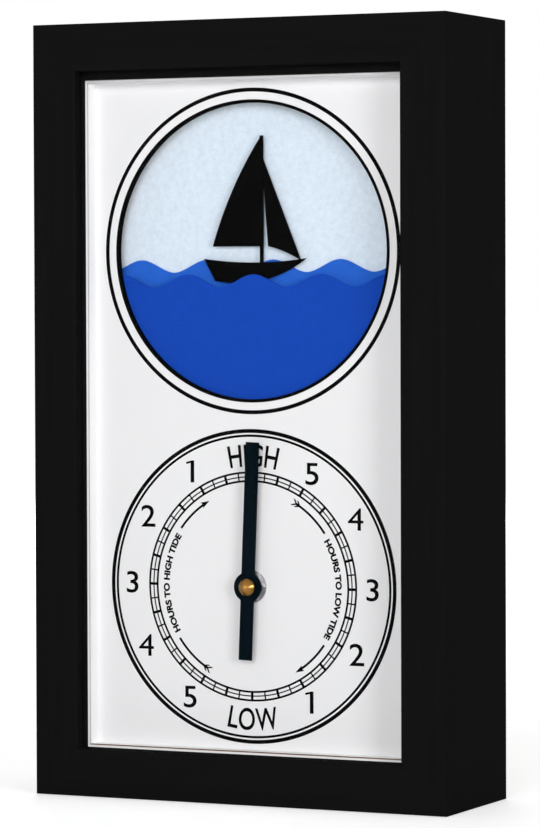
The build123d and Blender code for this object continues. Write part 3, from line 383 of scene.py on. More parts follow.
def group_shell(name, inputs, outputs):
    """An empty shader group: the group, the sockets that it is given and those that it puts out."""
    group = bpy.data.node_groups.new(name, "ShaderNodeTree")
    group.interface.new_socket(name="Vector", in_out="INPUT", socket_type="NodeSocketVector")
    for socket, default in inputs.items():
        kind = "NodeSocketFloat" if isinstance(default, float) else "NodeSocketColor"
        group.interface.new_socket(name=socket, in_out="INPUT", socket_type=kind).default_value = default
    for socket in outputs:
        kind = "NodeSocketColor" if socket == "Color" else "NodeSocketFloat"
        group.interface.new_socket(name=socket, in_out="OUTPUT", socket_type=kind)
    return group, group.nodes.new("NodeGroupInput").outputs, group.nodes.new("NodeGroupOutput").inputs


def moulded_skin_group():
    """Fine speckle and slow shade of moulded plastic and paint: a colour, a roughness and a height."""
    group, given, put = group_shell(
        "Moulded Skin",
        {
            "Color": (0.5, 0.5, 0.5, 1),
            "Grain Scale": 2200.0,
            "Shade": 0.12,
            "Roughness": 0.5,
            "Roughness Spread": 0.08,
        },
        ("Color", "Roughness", "Height"),
    )
    grain = noise(group, given["Vector"], given["Grain Scale"], detail=4.0, roughness=0.6)
    slow = noise(group, given["Vector"], 45.0, detail=2.0)
    swing = spread(group, weigh(group, grain, 0.5, slow), 0.0, 1.0, -2.0, 2.0)
    value = maths(group, "ADD", maths(group, "MULTIPLY", swing, given["Shade"]), 1.0)
    rough = maths(group, "MULTIPLY", swing, given["Roughness Spread"])
    tint = add_node(group, "HueSaturation", Color=given["Color"], Value=value)
    feed(group, put["Color"], tint.outputs["Color"])
    feed(group, put["Roughness"], maths(group, "ADD", given["Roughness"], rough, clamp=True))
    feed(group, put["Height"], grain)
    return group


def long_grain_group():
    """Streaks along the vector's Z, as in planed wood or brushed metal: a colour, a mask and a height."""
    group, given, put = group_shell(
        "Long Grain",
        {"Light": (0.6, 0.4, 0.2, 1), "Dark": (0.4, 0.25, 0.12, 1), "Scale": 300.0, "Stretch": 0.04},
        ("Color", "Mask", "Height"),
    )
    stretch = add_node(group, "CombineXYZ", X=1.0, Y=1.0, Z=given["Stretch"])
    along = vector_maths(group, "MULTIPLY", given["Vector"], stretch.outputs["Vector"])
    fine_scale = maths(group, "MULTIPLY", given["Scale"], 4.0)
    fine = noise(group, along, fine_scale, roughness=0.7)
    broad = noise(group, along, given["Scale"])
    mask = spread(group, weigh(group, fine, 0.4, broad), 0.35, 0.65)
    feed(group, put["Color"], blend_colours(group, mask, given["Dark"], given["Light"]))
    feed(group, put["Mask"], mask)
    feed(group, put["Height"], fine)
    return group


def paper_fibre_group():
    """Soft blots and short fibres of paper and card: a blended colour and a height."""
    group, given, put = group_shell(
        "Paper Fibre",
        {
            "Light": (0.8, 0.8, 0.8, 1),
            "Dark": (0.6, 0.6, 0.6, 1),
            "Blot Scale": 120.0,
            "Fibre Scale": 1400.0,
        },
        ("Color", "Height"),
    )
    blots = noise(group, given["Vector"], given["Blot Scale"], detail=4.0, roughness=0.65)
    fibre = noise(group, given["Vector"], given["Fibre Scale"], detail=2.0, roughness=0.7)
    mask = spread(group, weigh(group, blots, 0.6, fibre), 0.36, 0.64)
    feed(group, put["Color"], blend_colours(group, mask, given["Dark"], given["Light"]))
    feed(group, put["Height"], fibre)
    return group


def turned_lines_group():
    """Fine rings round the vector's Y axis, as a lathe leaves them: a mask and a height."""
    group, given, put = group_shell("Turned Lines", {"Pitch Scale": 9000.0}, ("Mask", "Height"))
    flat = vector_maths(group, "MULTIPLY", given["Vector"], (1, 0, 1))
    rings = add_node(group, "CombineXYZ", X=vector_maths(group, "LENGTH", flat))
    lines = noise(group, rings.outputs["Vector"], given["Pitch Scale"], detail=2.0, roughness=0.6)
    feed(group, put["Mask"], lines)
    feed(group, put["Height"], lines)
    return group


def shared_group(name):
    """A shader group of this file, built once."""
    makers = {
        "Moulded Skin": moulded_skin_group,
        "Long Grain": long_grain_group,
        "Paper Fibre": paper_fibre_group,
        "Turned Lines": turned_lines_group,
    }
    return bpy.data.node_groups.get(name) or makers[name]()


# Materials


class Finish:
    """One material under construction: its tree, its Principled shader and its own coordinates."""

    def __init__(self, name, **values):
        self.material = bpy.data.materials.new(name)
        self.material.use_nodes = True
        self.tree = self.material.node_tree
        self.shader = self.tree.nodes["Principled BSDF"]
        coordinates = self.tree.nodes.new("ShaderNodeTexCoord").outputs
        self.place = coordinates["Object"]
        self.normal = coordinates["Normal"]
        self.set(**values)

    def set(self, **values):
        """Gives the shader's own sockets links or constants."""
        feed_named(self.tree, self.shader.inputs, values)

    def mapped(self, kind, **values):
        """Object coordinates, centred on a place or turned."""
        node = add_node(self.tree, "Mapping", Vector=self.place, **values)
        node.vector_type = kind
        return node.outputs["Vector"]

    def group(self, name, vector=None, **values):
        """One of the shared groups, with its own values."""
        node = self.tree.nodes.new("ShaderNodeGroup")
        node.node_tree = shared_group(name)
        feed_named(self.tree, node.inputs, {"Vector": vector or self.place, **values})
        return node.outputs

    def bump(self, height, depth):
        """Lets a height pattern of the given depth shape the surface."""
        node = add_node(self.tree, "Bump", Strength=1.0, Distance=depth, Height=height)
        self.set(Normal=node.outputs["Normal"])

    def tool_marks(self, lines, smoothest, roughest):
        """Lets fine lines change the roughness and shape the surface."""
        self.set(Roughness=spread(self.tree, lines["Mask"], 0.0, 1.0, smoothest, roughest))
        self.bump(lines["Height"], TOOL_MARK_DEPTH)

    def part(self, vector, axis):
        """One of the three parts of a vector."""
        return add_node(self.tree, "SeparateXYZ", Vector=vector).outputs[axis]

    def facing(self, axis, low, high):
        """A mask that goes from 0 to 1 while the normal's part along an axis goes from low to high."""
        return spread(self.tree, self.part(self.normal, axis), low, high)

    def off_front(self):
        """A mask that is 0 on the front and 1 on the edges and the back."""
        return self.facing("Y", -0.9, -0.6)

    def on_back(self):
        """A mask that is 1 on the back only."""
        return self.facing("Y", 0.4, 0.6)

    def on_ends(self):
        """A mask that is 1 on the left and the right end."""
        return maths(self.tree, "ADD", self.facing("X", 0.6, 0.8), self.facing("X", -0.6, -0.8), clamp=True)


def shade(tone, factor):
    """A colour made lighter or darker."""
    return tuple(min(1.0, part * factor) for part in tone)


def skin_finish(name, tone, roughness, grain, depth, swing=0.12, **values):
    """Moulded plastic or paint."""
    finish = Finish(name, **values)
    skin = finish.group("Moulded Skin", Color=tone, Grain_Scale=grain, Shade=swing, Roughness=roughness)
    finish.set(Base_Color=skin["Color"], Roughness=skin["Roughness"])
    finish.bump(skin["Height"], depth)
    return finish.material


def circuit_finish(name, tone):
    """The coat of a circuit board."""
    return skin_finish(name, tone, roughness=0.35, grain=900.0, depth=20 * MICRON, swing=0.25)


def grain_finish(name, turn, tone, light, dark, scale, roughness, depth, **values):
    """Wood, raw or painted, with its grain along Z, turned about Y."""
    finish = Finish(name, Roughness=roughness, **values)
    grain = finish.group(
        "Long Grain",
        finish.mapped("POINT", Rotation=(0, turn, 0)),
        Light=shade(tone, light),
        Dark=shade(tone, dark),
        Scale=scale,
        Stretch=WOOD_STRETCH,
    )
    finish.set(Base_Color=grain["Color"])
    finish.bump(grain["Height"], depth)
    return finish.material


def card_finish(name, tone, light=1.06, dark=0.94, blot=300.0, fibre=1400.0, gloss=0.05, core=None):
    """Paper or card, with a raw core on its edges and its back if one is given."""
    finish = Finish(name, Roughness=0.8, Specular_IOR_Level=gloss)
    paper = finish.group(
        "Paper Fibre", Light=shade(tone, light), Dark=shade(tone, dark), Blot_Scale=blot, Fibre_Scale=fibre
    )
    surface = paper["Color"]
    if core:
        raw = finish.group("Paper Fibre", Light=shade(core, 1.2), Dark=shade(core, 0.8), Blot_Scale=500.0)
        surface = blend_colours(finish.tree, finish.off_front(), surface, raw["Color"])
    finish.set(Base_Color=surface)
    finish.bump(paper["Height"], 30 * MICRON)
    return finish.material


def brushed_finish(name, tone, roughness):
    """Brushed or plated metal."""
    finish = Finish(name, Metallic=1.0, Base_Color=tone)
    lines = finish.group("Long Grain", Scale=900.0, Stretch=0.08)
    finish.tool_marks(lines, roughness * 0.7, roughness * 1.3)
    return finish.material


def turned_finish(name, pitch, smoothest, roughest):
    """Metal turned round the hand's axis, whose colour is still to be set."""
    finish = Finish(name, Metallic=1.0)
    centred = finish.mapped("TEXTURE", Location=HAND_AXIS)
    finish.tool_marks(finish.group("Turned Lines", centred, Pitch_Scale=pitch), smoothest, roughest)
    return finish


def dress(material, *nodes):
    """Gives CAD nodes a material."""
    for node in nodes:
        slots = frame["nodes"][node].data.materials
        slots.clear()
        slots.append(material)


def dress_strips(kinds, finish_name, **grain):
    """Gives strips of wood a finish whose grain runs along them."""
    for way, turn, sides in (("upright", 0.0, ("left", "right")), ("level", pi / 2, ("top", "bottom"))):
        material = grain_finish(f"{way}_{finish_name}", turn, **grain)
        dress(material, *(f"{kind}_{side}" for kind in kinds for side in sides))


# Meshes


def add_piece(bm, name, material, body, smooth=False):
    """Makes the finished mesh a piece that rides on a body, with round faces shaded smooth if asked."""
    bmesh.ops.remove_doubles(bm, verts=bm.verts, dist=MERGE_DISTANCE)
    bmesh.ops.recalc_face_normals(bm, faces=bm.faces)
    mesh = bpy.data.meshes.new(name)
    bm.to_mesh(mesh)
    bm.free()
    if smooth:
        mesh.shade_smooth()
        mesh.set_sharp_from_angle(angle=SHARP_ANGLE)
    mesh.materials.append(material)
    piece = bpy.data.objects.new(name, mesh)
    bpy.context.scene.collection.objects.link(piece)
    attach(piece, body)
    return piece


def gather(target, source):
    """Adds one mesh to another."""
    mesh = bpy.data.meshes.new("part")
    source.to_mesh(mesh)
    source.free()
    target.from_mesh(mesh)
    bpy.data.meshes.remove(mesh)


def only(geometry, kind):
    """The parts of one kind in what an operator gives back."""
    return [part for part in geometry if isinstance(part, kind)]


def box_round(points):
    """The lowest and the highest corner of the box round some points."""
    sides = list(zip(*points))
    return Vector([min(side) for side in sides]), Vector([max(side) for side in sides])


def on_circle(axis, depth, turn, radius):
    """The place at a clock angle on a circle round an axis along Y."""
    centre = Matrix.Translation((axis.x, depth, axis.z))
    return centre @ Matrix.Rotation(turn, 4, "Y") @ Matrix.Translation((0, 0, radius))


def spin_round(bm, axis, section, sweep, steps):
    """Spins a section round an axis along Y, closed after a full turn, and gives back its last copy."""
    return bmesh.ops.spin(
        bm,
        geom=section,
        cent=(axis.x, 0, axis.z),
        axis=(0, 1, 0),
        angle=sweep,
        steps=steps,
        use_merge=sweep == FULL_TURN,
    )["geom_last"]


def add_band(bm, axis, radii, depths, start=0.0, sweep=FULL_TURN, steps=RING_STEPS):
    """A flat band round an axis along Y, from a clock angle over a sweep, closed at its ends."""
    inner, outer = radii
    front, back = depths
    corners = [
        bm.verts.new((axis.x + radius * sin(start), depth, axis.z + radius * cos(start)))
        for radius, depth in ((inner, back), (outer, back), (outer, front), (inner, front))
    ]
    edges = [bm.edges.new((corner, corners[index - 1])) for index, corner in enumerate(corners)]
    if sweep != FULL_TURN:
        bm.faces.new(corners)
    end = spin_round(bm, axis, corners + edges, sweep, steps)
    if sweep != FULL_TURN:
        bmesh.ops.contextual_create(bm, geom=only(end, bmesh.types.BMEdge))


def add_mark(bm, axis, turn, reach, width, depths):
    """A straight bar that points away from an axis along Y."""
    inner, outer = reach
    front, back = depths
    place = on_circle(axis, (front + back) / 2, turn, (inner + outer) / 2)
    size = Matrix.Diagonal((width, back - front, outer - inner, 1))
    bmesh.ops.create_cube(bm, size=1, matrix=place @ size)


def raise_faces(bm, faces, thickness):
    """Makes flat faces thick towards the front and gives back the raised corners."""
    raised = only(bmesh.ops.extrude_face_region(bm, geom=faces)["geom"], bmesh.types.BMVert)
    bmesh.ops.translate(bm, verts=raised, vec=(0, -thickness, 0))
    return raised


def add_plate(bm, outline, scale, place, thickness):
    """A flat plate: an outline in X and Z, scaled, made thick towards the front and put in its place."""
    corners = [bm.verts.new((across * scale, 0, up * scale)) for across, up in outline]
    raised = raise_faces(bm, [bm.faces.new(corners)], thickness)
    bmesh.ops.transform(bm, matrix=place, verts=corners + raised)


def add_lathe(bm, axis, profile, steps=LARGE_ROUND_STEPS):
    """A turned shape round an axis along Y, from pairs of a radius and a depth."""
    corners = [bm.verts.new((axis.x + radius, depth, axis.z)) for radius, depth in profile]
    edges = [bm.edges.new(pair) for pair in zip(corners, corners[1:])]
    spin_round(bm, axis, corners + edges, FULL_TURN, steps)
    bmesh.ops.remove_doubles(bm, verts=bm.verts, dist=MERGE_DISTANCE)


def separate_boxes(node):
    """The lowest and the highest corner of each separate solid of a CAD node."""
    bm = bmesh.new()
    bm.from_mesh(frame["nodes"][node].data)
    bmesh.ops.remove_doubles(bm, verts=bm.verts, dist=MICRON)
    boxes = []
    seen = set()
    for first in bm.verts:
        if first in seen:
            continue
        seen.add(first)
        island = [first]
        for vert in island:
            for edge in vert.link_edges:
                other = edge.other_vert(vert)
                if other not in seen:
                    seen.add(other)
                    island.append(other)
        boxes.append(box_round([vert.co for vert in island]))
    bm.free()
    return boxes


def pan_screw(low, high, head_height):
    """A pan head screw with a cross recess that fills a box, driven towards the front."""
    axis = (low + high) / 2
    radius = (high.x - low.x) / 2
    shank = radius * SHANK_RADIUS
    seat = high.y - head_height
    bm = bmesh.new()
    profile = [(0, low.y), (shank, low.y + shank), (shank, seat)]
    profile += [(radius * across, seat + head_height * along) for across, along in HEAD_PROFILE]
    add_lathe(bm, axis, profile, SMALL_ROUND_STEPS)
    crown = [edge for edge in bm.edges if edge.is_boundary]
    half = radius * RECESS_HALF
    reach = radius * RECESS_REACH
    corner = ((half, reach), (half, half), (reach, half), (reach, -half), (half, -half), (half, -reach))
    outline = corner + tuple((-across, -up) for across, up in corner)
    rim = [bm.verts.new((axis.x + across, high.y, axis.z + up)) for across, up in outline]
    recess = [bm.edges.new((rim[index - 1], vert)) for index, vert in enumerate(rim)]
    bmesh.ops.triangle_fill(bm, use_beauty=True, edges=crown + recess, normal=(0, 1, 0))
    walls = bmesh.ops.extrude_edge_only(bm, edges=recess)["geom"]
    floor = only(walls, bmesh.types.BMVert)
    bmesh.ops.translate(bm, verts=floor, vec=(0, -head_height * RECESS_DEPTH, 0))
    bmesh.ops.scale(bm, verts=floor, vec=(RECESS_FLOOR, 1, RECESS_FLOOR), space=Matrix.Translation(-axis))
    bmesh.ops.contextual_create(bm, geom=only(walls, bmesh.types.BMEdge))
    return bm


# Print


def lettering(words, thickness, weight):
    """Words in the built-in letter as a mesh: X along the line, Y up, made bolder by the weight."""
    curve = bpy.data.curves.new("lettering", "FONT")
    curve.body = words
    # Extruded both ways, so that the mesh is one unit thick
    curve.extrude = 0.5
    curve.offset = weight
    curve.resolution_u = 6
    holder = bpy.data.objects.new("lettering", curve)
    bpy.context.scene.collection.objects.link(holder)
    bpy.context.view_layer.update()
    mesh = bpy.data.meshes.new_from_object(holder.evaluated_get(bpy.context.evaluated_depsgraph_get()))
    bpy.data.objects.remove(holder)
    bpy.data.curves.remove(curve)
    bm = bmesh.new()
    bm.from_mesh(mesh)
    bpy.data.meshes.remove(mesh)
    bmesh.ops.scale(bm, vec=(1, 1, thickness), verts=bm.verts)
    return bm


def fit_letters(bm, height, width=None, stretch=1.0):
    """Scales letters to a height, and to a width or by a stretch along the line, and centres them."""
    low, high = box_round([vert.co for vert in bm.verts])
    tall = height / (high.y - low.y)
    wide = tall * stretch if width is None else width / (high.x - low.x)
    bmesh.ops.translate(bm, verts=bm.verts, vec=-(low + high) / 2)
    bmesh.ops.scale(bm, vec=(wide, tall, 1), verts=bm.verts)


def bend_letters(bm, radius, upright):
    """Bends a line of letters round the origin: tops outwards at the top, or tops inwards at the foot."""
    side = 1 if upright else -1
    for vert in bm.verts:
        turn = vert.co.x / radius
        reach = radius + side * vert.co.y
        vert.co.x = reach * sin(turn)
        vert.co.y = side * reach * cos(turn)


def stand_letters(bm, thickness, turn=0.0, offset=(0, 0)):
    """Stands flat letters on the dial: turned clockwise about the hand's axis, then moved across and up."""
    across, up = offset
    place = Matrix.Translation((HAND_AXIS.x + across, DIAL_FACE - thickness / 2, HAND_AXIS.z + up))
    bmesh.ops.transform(bm, matrix=place @ UPRIGHT @ Matrix.Rotation(-turn, 4, "Z"), verts=bm.verts)


def ink_depths(sizes):
    """Front and back of the print on the dial."""
    return DIAL_FACE - sizes.ink_height, DIAL_FACE


def print_piece(context, bm, name):
    """Makes the finished mesh a piece of screen-printed ink on the dial."""
    ink = bpy.data.materials.get("screen_ink")
    if ink is None:
        tone = context.scene.clock_print.ink
        ink = skin_finish(
            "screen_ink", tone, roughness=0.6, grain=3500.0, depth=6 * MICRON, Specular_IOR_Level=0.02
        )
    add_piece(bm, name, ink, "case")


class CLOCK_OT_paint_frame(Operator):
    """Paints the rails and the spacers in satin black over the wood's grain"""

    bl_idname = "tide_clock.paint_frame"
    bl_label = "Paint Frame"

    def execute(self, context):
        dress_strips(
            ("frame", "spacer"),
            "paint",
            tone=context.scene.clock_colours.frame,
            light=1.12,
            dark=0.9,
            scale=260.0,
            roughness=0.55,
            depth=12 * MICRON,
            Specular_IOR_Level=0.001,
        )
        return {"FINISHED"}


class CLOCK_OT_glaze(Operator):
    """Makes the front sheet clear glass that lets light in and out straight"""

    bl_idname = "tide_clock.glaze"
    bl_label = "Glaze"

    def execute(self, context):
        finish = Finish(
            "front_glass", Base_Color=(1, 1, 1), Transmission_Weight=1.0, IOR=1.05, Specular_IOR_Level=0.2
        )
        tree = finish.tree
        smears = noise(tree, finish.place, 30.0)
        finish.set(Roughness=spread(tree, smears, 0.3, 0.8, 0.0, 0.012))
        path = tree.nodes.new("ShaderNodeLightPath").outputs
        lit = maths(tree, "ADD", path["Is Shadow Ray"], path["Is Diffuse Ray"], clamp=True)
        clear = tree.nodes.new("ShaderNodeBsdfTransparent").outputs["BSDF"]
        choose(tree, lit, finish.shader.outputs["BSDF"], clear, "Material Output")
        dress(finish.material, "front_glass")
        return {"FINISHED"}


class CLOCK_OT_finish_dial(Operator):
    """Gives the dial plate a white face on raw board with blacked edges, and the fillet its pale sheet"""

    bl_idname = "tide_clock.finish_dial"
    bl_label = "Finish Dial"

    def execute(self, context):
        tones = context.scene.clock_colours
        ink = context.scene.clock_print.ink
        for node, name, tone, edge, roughness in (
            ("dial_plate", "dial_face", tones.dial, ink, 0.42),
            ("dial_fillet", "pale_fillet", tones.fillet, tones.fillet, 0.5),
        ):
            finish = Finish(name, Specular_IOR_Level=0.005)
            light, dark = shade(tones.board, 1.25), shade(tones.board, 0.7)
            board = finish.group("Paper Fibre", Light=light, Dark=dark, Blot_Scale=400.0)
            face = finish.group(
                "Moulded Skin", Color=tone, Grain_Scale=1600.0, Shade=0.012, Roughness=roughness
            )
            painted = blend_colours(finish.tree, finish.off_front(), face["Color"], edge)
            surface = blend_colours(finish.tree, finish.on_back(), painted, board["Color"])
            finish.set(Base_Color=surface, Roughness=face["Roughness"])
            finish.bump(face["Height"], 6 * MICRON)
            dress(finish.material, node)
        return {"FINISHED"}


class CLOCK_OT_line_fillet(Operator):
    """Lays a thin painted shadow line along the fillet's edge: brown below and at the right, where it also
    stands for the board core, grey elsewhere
    """

    bl_idname = "tide_clock.line_fillet"
    bl_label = "Line Fillet"

    def execute(self, context):
        tones = context.scene.clock_colours
        sizes = context.scene.clock_print
        low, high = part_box("dial_fillet")
        opening = [
            vert.co
            for vert in frame["nodes"]["dial_fillet"].data.vertices
            if low.x + MM < vert.co.x < high.x - MM and low.z + MM < vert.co.z < high.z - MM
        ]
        if not opening:
            raise RuntimeError("dial_fillet has no opening to line")
        lowest, highest = box_round(opening)
        centre = (lowest + highest) / 2
        centre.y = low.y
        reach = highest - lowest + Vector((1, 0, 1)) * 2 * sizes.fillet_line_width
        place = Matrix.Translation(centre) @ UPRIGHT @ Matrix.Diagonal((reach.x, reach.z, 1, 1))
        # Painted shadow of the gap at the dial: the brown line also stands for the board core, the grey line
        # is shadow only
        for name, tone, side in (
            ("fillet_core_and_shadow_line", tones.fillet_line, 1),
            ("fillet_painted_shadow_line", tones.fillet_seam, -1),
        ):
            bm = bmesh.new()
            bmesh.ops.create_grid(bm, x_segments=1, y_segments=1, size=0.5, matrix=place)
            unwanted = list(bm.faces)
            bmesh.ops.inset_region(
                bm,
                faces=unwanted,
                thickness=sizes.fillet_line_width,
                use_boundary=True,
                use_even_offset=True,
            )
            for face in bm.faces:
                off = face.calc_center_median() - centre
                if face not in unwanted and (off.x - off.z) * side < 0:
                    unwanted.append(face)
            bmesh.ops.delete(bm, geom=unwanted, context="FACES")
            raise_faces(bm, list(bm.faces), sizes.fillet_line_height)
            material = skin_finish(name, tone, roughness=0.55, grain=1800.0, depth=5 * MICRON, swing=0.2)
            add_piece(bm, name, material, "case")
        return {"FINISHED"}


class CLOCK_OT_print_rings(Operator):
    """Prints the bands and lines round the porthole and the dial"""

    bl_idname = "tide_clock.print_rings"
    bl_label = "Print Rings"

    def execute(self, context):
        sizes = context.scene.clock_print
        line, fine = sizes.hour_ring_line / 2, sizes.hour_ring_fine_line / 2
        rings = {
            "porthole_rings": (
                PORTHOLE_AXIS,
                (sizes.porthole_band_inner, sizes.porthole_band_outer),
                (sizes.porthole_line_inner, sizes.porthole_line_outer),
            ),
            "dial_rings": (
                HAND_AXIS,
                (sizes.dial_band_inner, sizes.dial_band_outer),
                (sizes.dial_line_inner, sizes.dial_line_outer),
            ),
            "hour_ring": (
                HAND_AXIS,
                (sizes.hour_ring_outer - line, sizes.hour_ring_outer + line),
                (sizes.hour_ring_middle - fine, sizes.hour_ring_middle + fine),
                (sizes.hour_ring_inner - line, sizes.hour_ring_inner + line),
            ),
        }
        for name, (axis, *bands) in rings.items():
            bm = bmesh.new()
            for radii in bands:
                add_band(bm, axis, radii, ink_depths(sizes))
            print_piece(context, bm, name)
        return {"FINISHED"}


class CLOCK_OT_print_marks(Operator):
    """Prints the half-hour marks of the hour ring and the finer marks between them"""

    bl_idname = "tide_clock.print_marks"
    bl_label = "Print Marks"

    def execute(self, context):
        sizes = context.scene.clock_print
        reach = (sizes.hour_ring_inner, sizes.hour_ring_outer)
        step = FULL_TURN / sizes.half_hours
        for name, start, width in (
            ("half_hour_marks", 0.0, sizes.mark_width),
            ("quarter_marks", step / 2, sizes.quarter_width),
        ):
            bm = bmesh.new()
            for index in range(sizes.half_hours):
                add_mark(bm, HAND_AXIS, start + index * step, reach, width, ink_depths(sizes))
            print_piece(context, bm, name)
        return {"FINISHED"}


class CLOCK_OT_print_numbers(Operator):
    """Prints the hours to the next tide, upright, five on each side"""

    bl_idname = "tide_clock.print_numbers"
    bl_label = "Print Numbers"

    def execute(self, context):
        sizes = context.scene.clock_print
        bm = bmesh.new()
        for hour, (across, up) in NUMBER_SHIFTS.items():
            # The numbers count down to the tide word ahead
            number = -hour % (HOURS_ROUND // 2)
            turn = hour * FULL_TURN / HOURS_ROUND
            across = sizes.number_radius * sin(turn) + across * MM
            up = sizes.number_radius * cos(turn) + up * MM
            if number == 1:
                place = Matrix.Translation((HAND_AXIS.x + across, DIAL_FACE, HAND_AXIS.z + up))
                add_plate(bm, FLAGGED_ONE, sizes.number_height, place, sizes.ink_height)
                continue
            figure = lettering(str(number), sizes.ink_height, FOUR_WEIGHT if number == 4 else FIGURE_WEIGHT)
            fit_letters(figure, sizes.number_height, stretch=sizes.number_stretch)
            stand_letters(figure, sizes.ink_height, offset=(across, up))
            gather(bm, figure)
        print_piece(context, bm, "dial_numbers")
        return {"FINISHED"}


class CLOCK_OT_print_words(Operator):
    """Prints the two tide words, fanned round the dial"""

    bl_idname = "tide_clock.print_words"
    bl_label = "Print Words"

    def execute(self, context):
        sizes = context.scene.clock_print
        bm = bmesh.new()
        for words, radius, width, turn, upright in (
            ("HIGH", sizes.high_radius, sizes.high_width, sizes.high_turn, True),
            ("LOW", sizes.low_radius, sizes.low_width, sizes.low_turn, False),
        ):
            line = lettering(words, sizes.ink_height, WORD_WEIGHT)
            fit_letters(line, sizes.word_height, width)
            bend_letters(line, radius, upright)
            stand_letters(line, sizes.ink_height, turn)
            gather(bm, line)
        print_piece(context, bm, "tide_words")
        return {"FINISHED"}


class CLOCK_OT_print_arrows(Operator):
    """Prints the two curved arrows and the caption that each one carries"""

    bl_idname = "tide_clock.print_arrows"
    bl_label = "Print Arrows"

    def execute(self, context):
        sizes = context.scene.clock_print
        captions = bmesh.new()
        arrows = bmesh.new()
        radii = (sizes.arrow_radius - sizes.arrow_line / 2, sizes.arrow_radius + sizes.arrow_line / 2)
        gap = sizes.caption_sweep / 2 + sizes.caption_gap
        for words, degrees in CAPTIONS.items():
            middle = radians(degrees)
            line = lettering(words, sizes.ink_height, CAPTION_WEIGHT)
            fit_letters(line, sizes.caption_height, sizes.caption_sweep * sizes.caption_radius)
            bend_letters(line, sizes.caption_radius + sizes.caption_height / 2, True)
            stand_letters(line, sizes.ink_height, middle)
            gather(captions, line)
            tail = middle - sizes.arrow_sweep / 2
            tip = middle + sizes.arrow_sweep / 2
            for start, end in ((tail, middle - gap), (middle + gap, tip - sizes.arrow_neck)):
                add_band(arrows, HAND_AXIS, radii, ink_depths(sizes), start, end - start, SHAFT_STEPS)
            for turn, outline in (
                (tip, ARROW_POINT),
                (tail, ARROW_BARB),
                (tail + sizes.barb_step, ARROW_BARB),
            ):
                place = on_circle(HAND_AXIS, DIAL_FACE, turn, sizes.arrow_radius)
                add_plate(arrows, outline, MM, place, sizes.ink_height)
        print_piece(context, captions, "tide_captions")
        print_piece(context, arrows, "tide_arrows")
        return {"FINISHED"}


class CLOCK_OT_finish_picture(Operator):
    """Gives the sky its mottled paper, the waves and the boat their card, and the board its raw face"""

    bl_idname = "tide_clock.finish_picture"
    bl_label = "Finish Picture"

    def execute(self, context):
        tones = context.scene.clock_colours
        board = tones.mount_board
        sky = card_finish("sky_paper", tones.sky, 1.07, 0.93, blot=420.0, fibre=1500.0, core=board)
        dress(sky, "sky_backdrop")
        dress(card_finish("sea_card", tones.sea), "sea_cutout")
        dress(card_finish("swell_card", tones.swell), "swell_cutout")
        dress(card_finish("boat_card", tones.boat, 1.2, 0.8, gloss=0.02), "boat_cutout")
        dress(card_finish("raw_board", tones.board, 1.3, 0.9, blot=500.0), "picture_spacer")
        return {"FINISHED"}


class CLOCK_OT_finish_hand(Operator):
    """Paints the tide hand and finishes the steel nut behind it"""

    bl_idname = "tide_clock.finish_hand"
    bl_label = "Finish Hand"

    def execute(self, context):
        tones = context.scene.clock_colours
        paint = skin_finish(
            "hand_paint", tones.hand, roughness=0.5, grain=3000.0, depth=5 * MICRON, Specular_IOR_Level=0.01
        )
        dress(paint, "tide_hand")
        steel = turned_finish("turned_steel", pitch=5000.0, smoothest=0.245, roughest=0.455)
        steel.set(Base_Color=shade(tones.steel, 0.55))
        dress(steel.material, "bush_nut", "bush_washer")
        return {"FINISHED"}


class CLOCK_OT_turn_nut(Operator):
    """Turns the brass cone nut that holds the hand"""

    bl_idname = "tide_clock.turn_nut"
    bl_label = "Turn Nut"

    def execute(self, context):
        sizes = context.scene.clock_fixings
        brass = context.scene.clock_colours.brass
        low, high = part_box("hand_nut")
        radius = (high.x - low.x) / 2
        rim = high.y - sizes.nut_rim
        sink = high.y - sizes.nut_bore_depth
        profile = (
            (0, low.y),
            (sizes.nut_tip, low.y),
            (radius, rim),
            (radius, high.y),
            (sizes.nut_bore, high.y),
            (sizes.nut_bore, sink),
            (0, sink),
        )
        bm = bmesh.new()
        add_lathe(bm, HAND_AXIS, profile)
        # The edges of the tip and of the rim, without the spokes of the flat tip
        edges = [
            edge
            for edge in bm.edges
            if any(all(abs(vert.co.y - depth) < MICRON for vert in edge.verts) for depth in (low.y, rim))
            and min((vert.co - HAND_AXIS).xz.length for vert in edge.verts) > sizes.nut_tip / 2
        ]
        bmesh.ops.bevel(
            bm,
            geom=edges,
            offset=sizes.nut_edge,
            segments=4,
            profile=0.5,
            affect="EDGES",
            material=-1,
            clamp_overlap=True,
        )
        finish = turned_finish("turned_brass", pitch=7000.0, smoothest=0.07, roughest=0.15)
        # Painted reflection: the brass is lighter at the tip and darker towards the rim, standing in for the
        # dark surroundings that polished brass reflects
        painted_reflection_fade = spread(finish.tree, finish.part(finish.place, "Y"), low.y, rim)
        finish.set(Base_Color=blend_colours(finish.tree, painted_reflection_fade, shade(brass, 1.35), shade(brass, 0.62)))
        piece = add_piece(bm, "brass_cone_nut", finish.material, "hand", smooth=True)
        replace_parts(piece, "hand_nut")
        return {"FINISHED"}


class CLOCK_OT_fit_screws(Operator):
    """Fits pan head screws with a cross recess in place of the plain ones"""

    bl_idname = "tide_clock.fit_screws"
    bl_label = "Fit Screws"

    def execute(self, context):
        sizes = context.scene.clock_fixings
        material = brushed_finish("screw_zinc", context.scene.clock_colours.steel, roughness=0.3)
        for node, name, head in (
            ("backdrop_screws", "backdrop_pan_screws", sizes.screw_head),
            ("drive_screws", "drive_pan_screws", sizes.screw_head),
            ("drive_cover_screws", "drive_cover_pan_screws", sizes.screw_head),
            ("movement_screws", "movement_pan_screws", sizes.small_screw_head),
        ):
            bm = bmesh.new()
            for low, high in separate_boxes(node):
                gather(bm, pan_screw(low, high, head))
            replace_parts(add_piece(bm, name, material, "case", smooth=True), node)
        return {"FINISHED"}


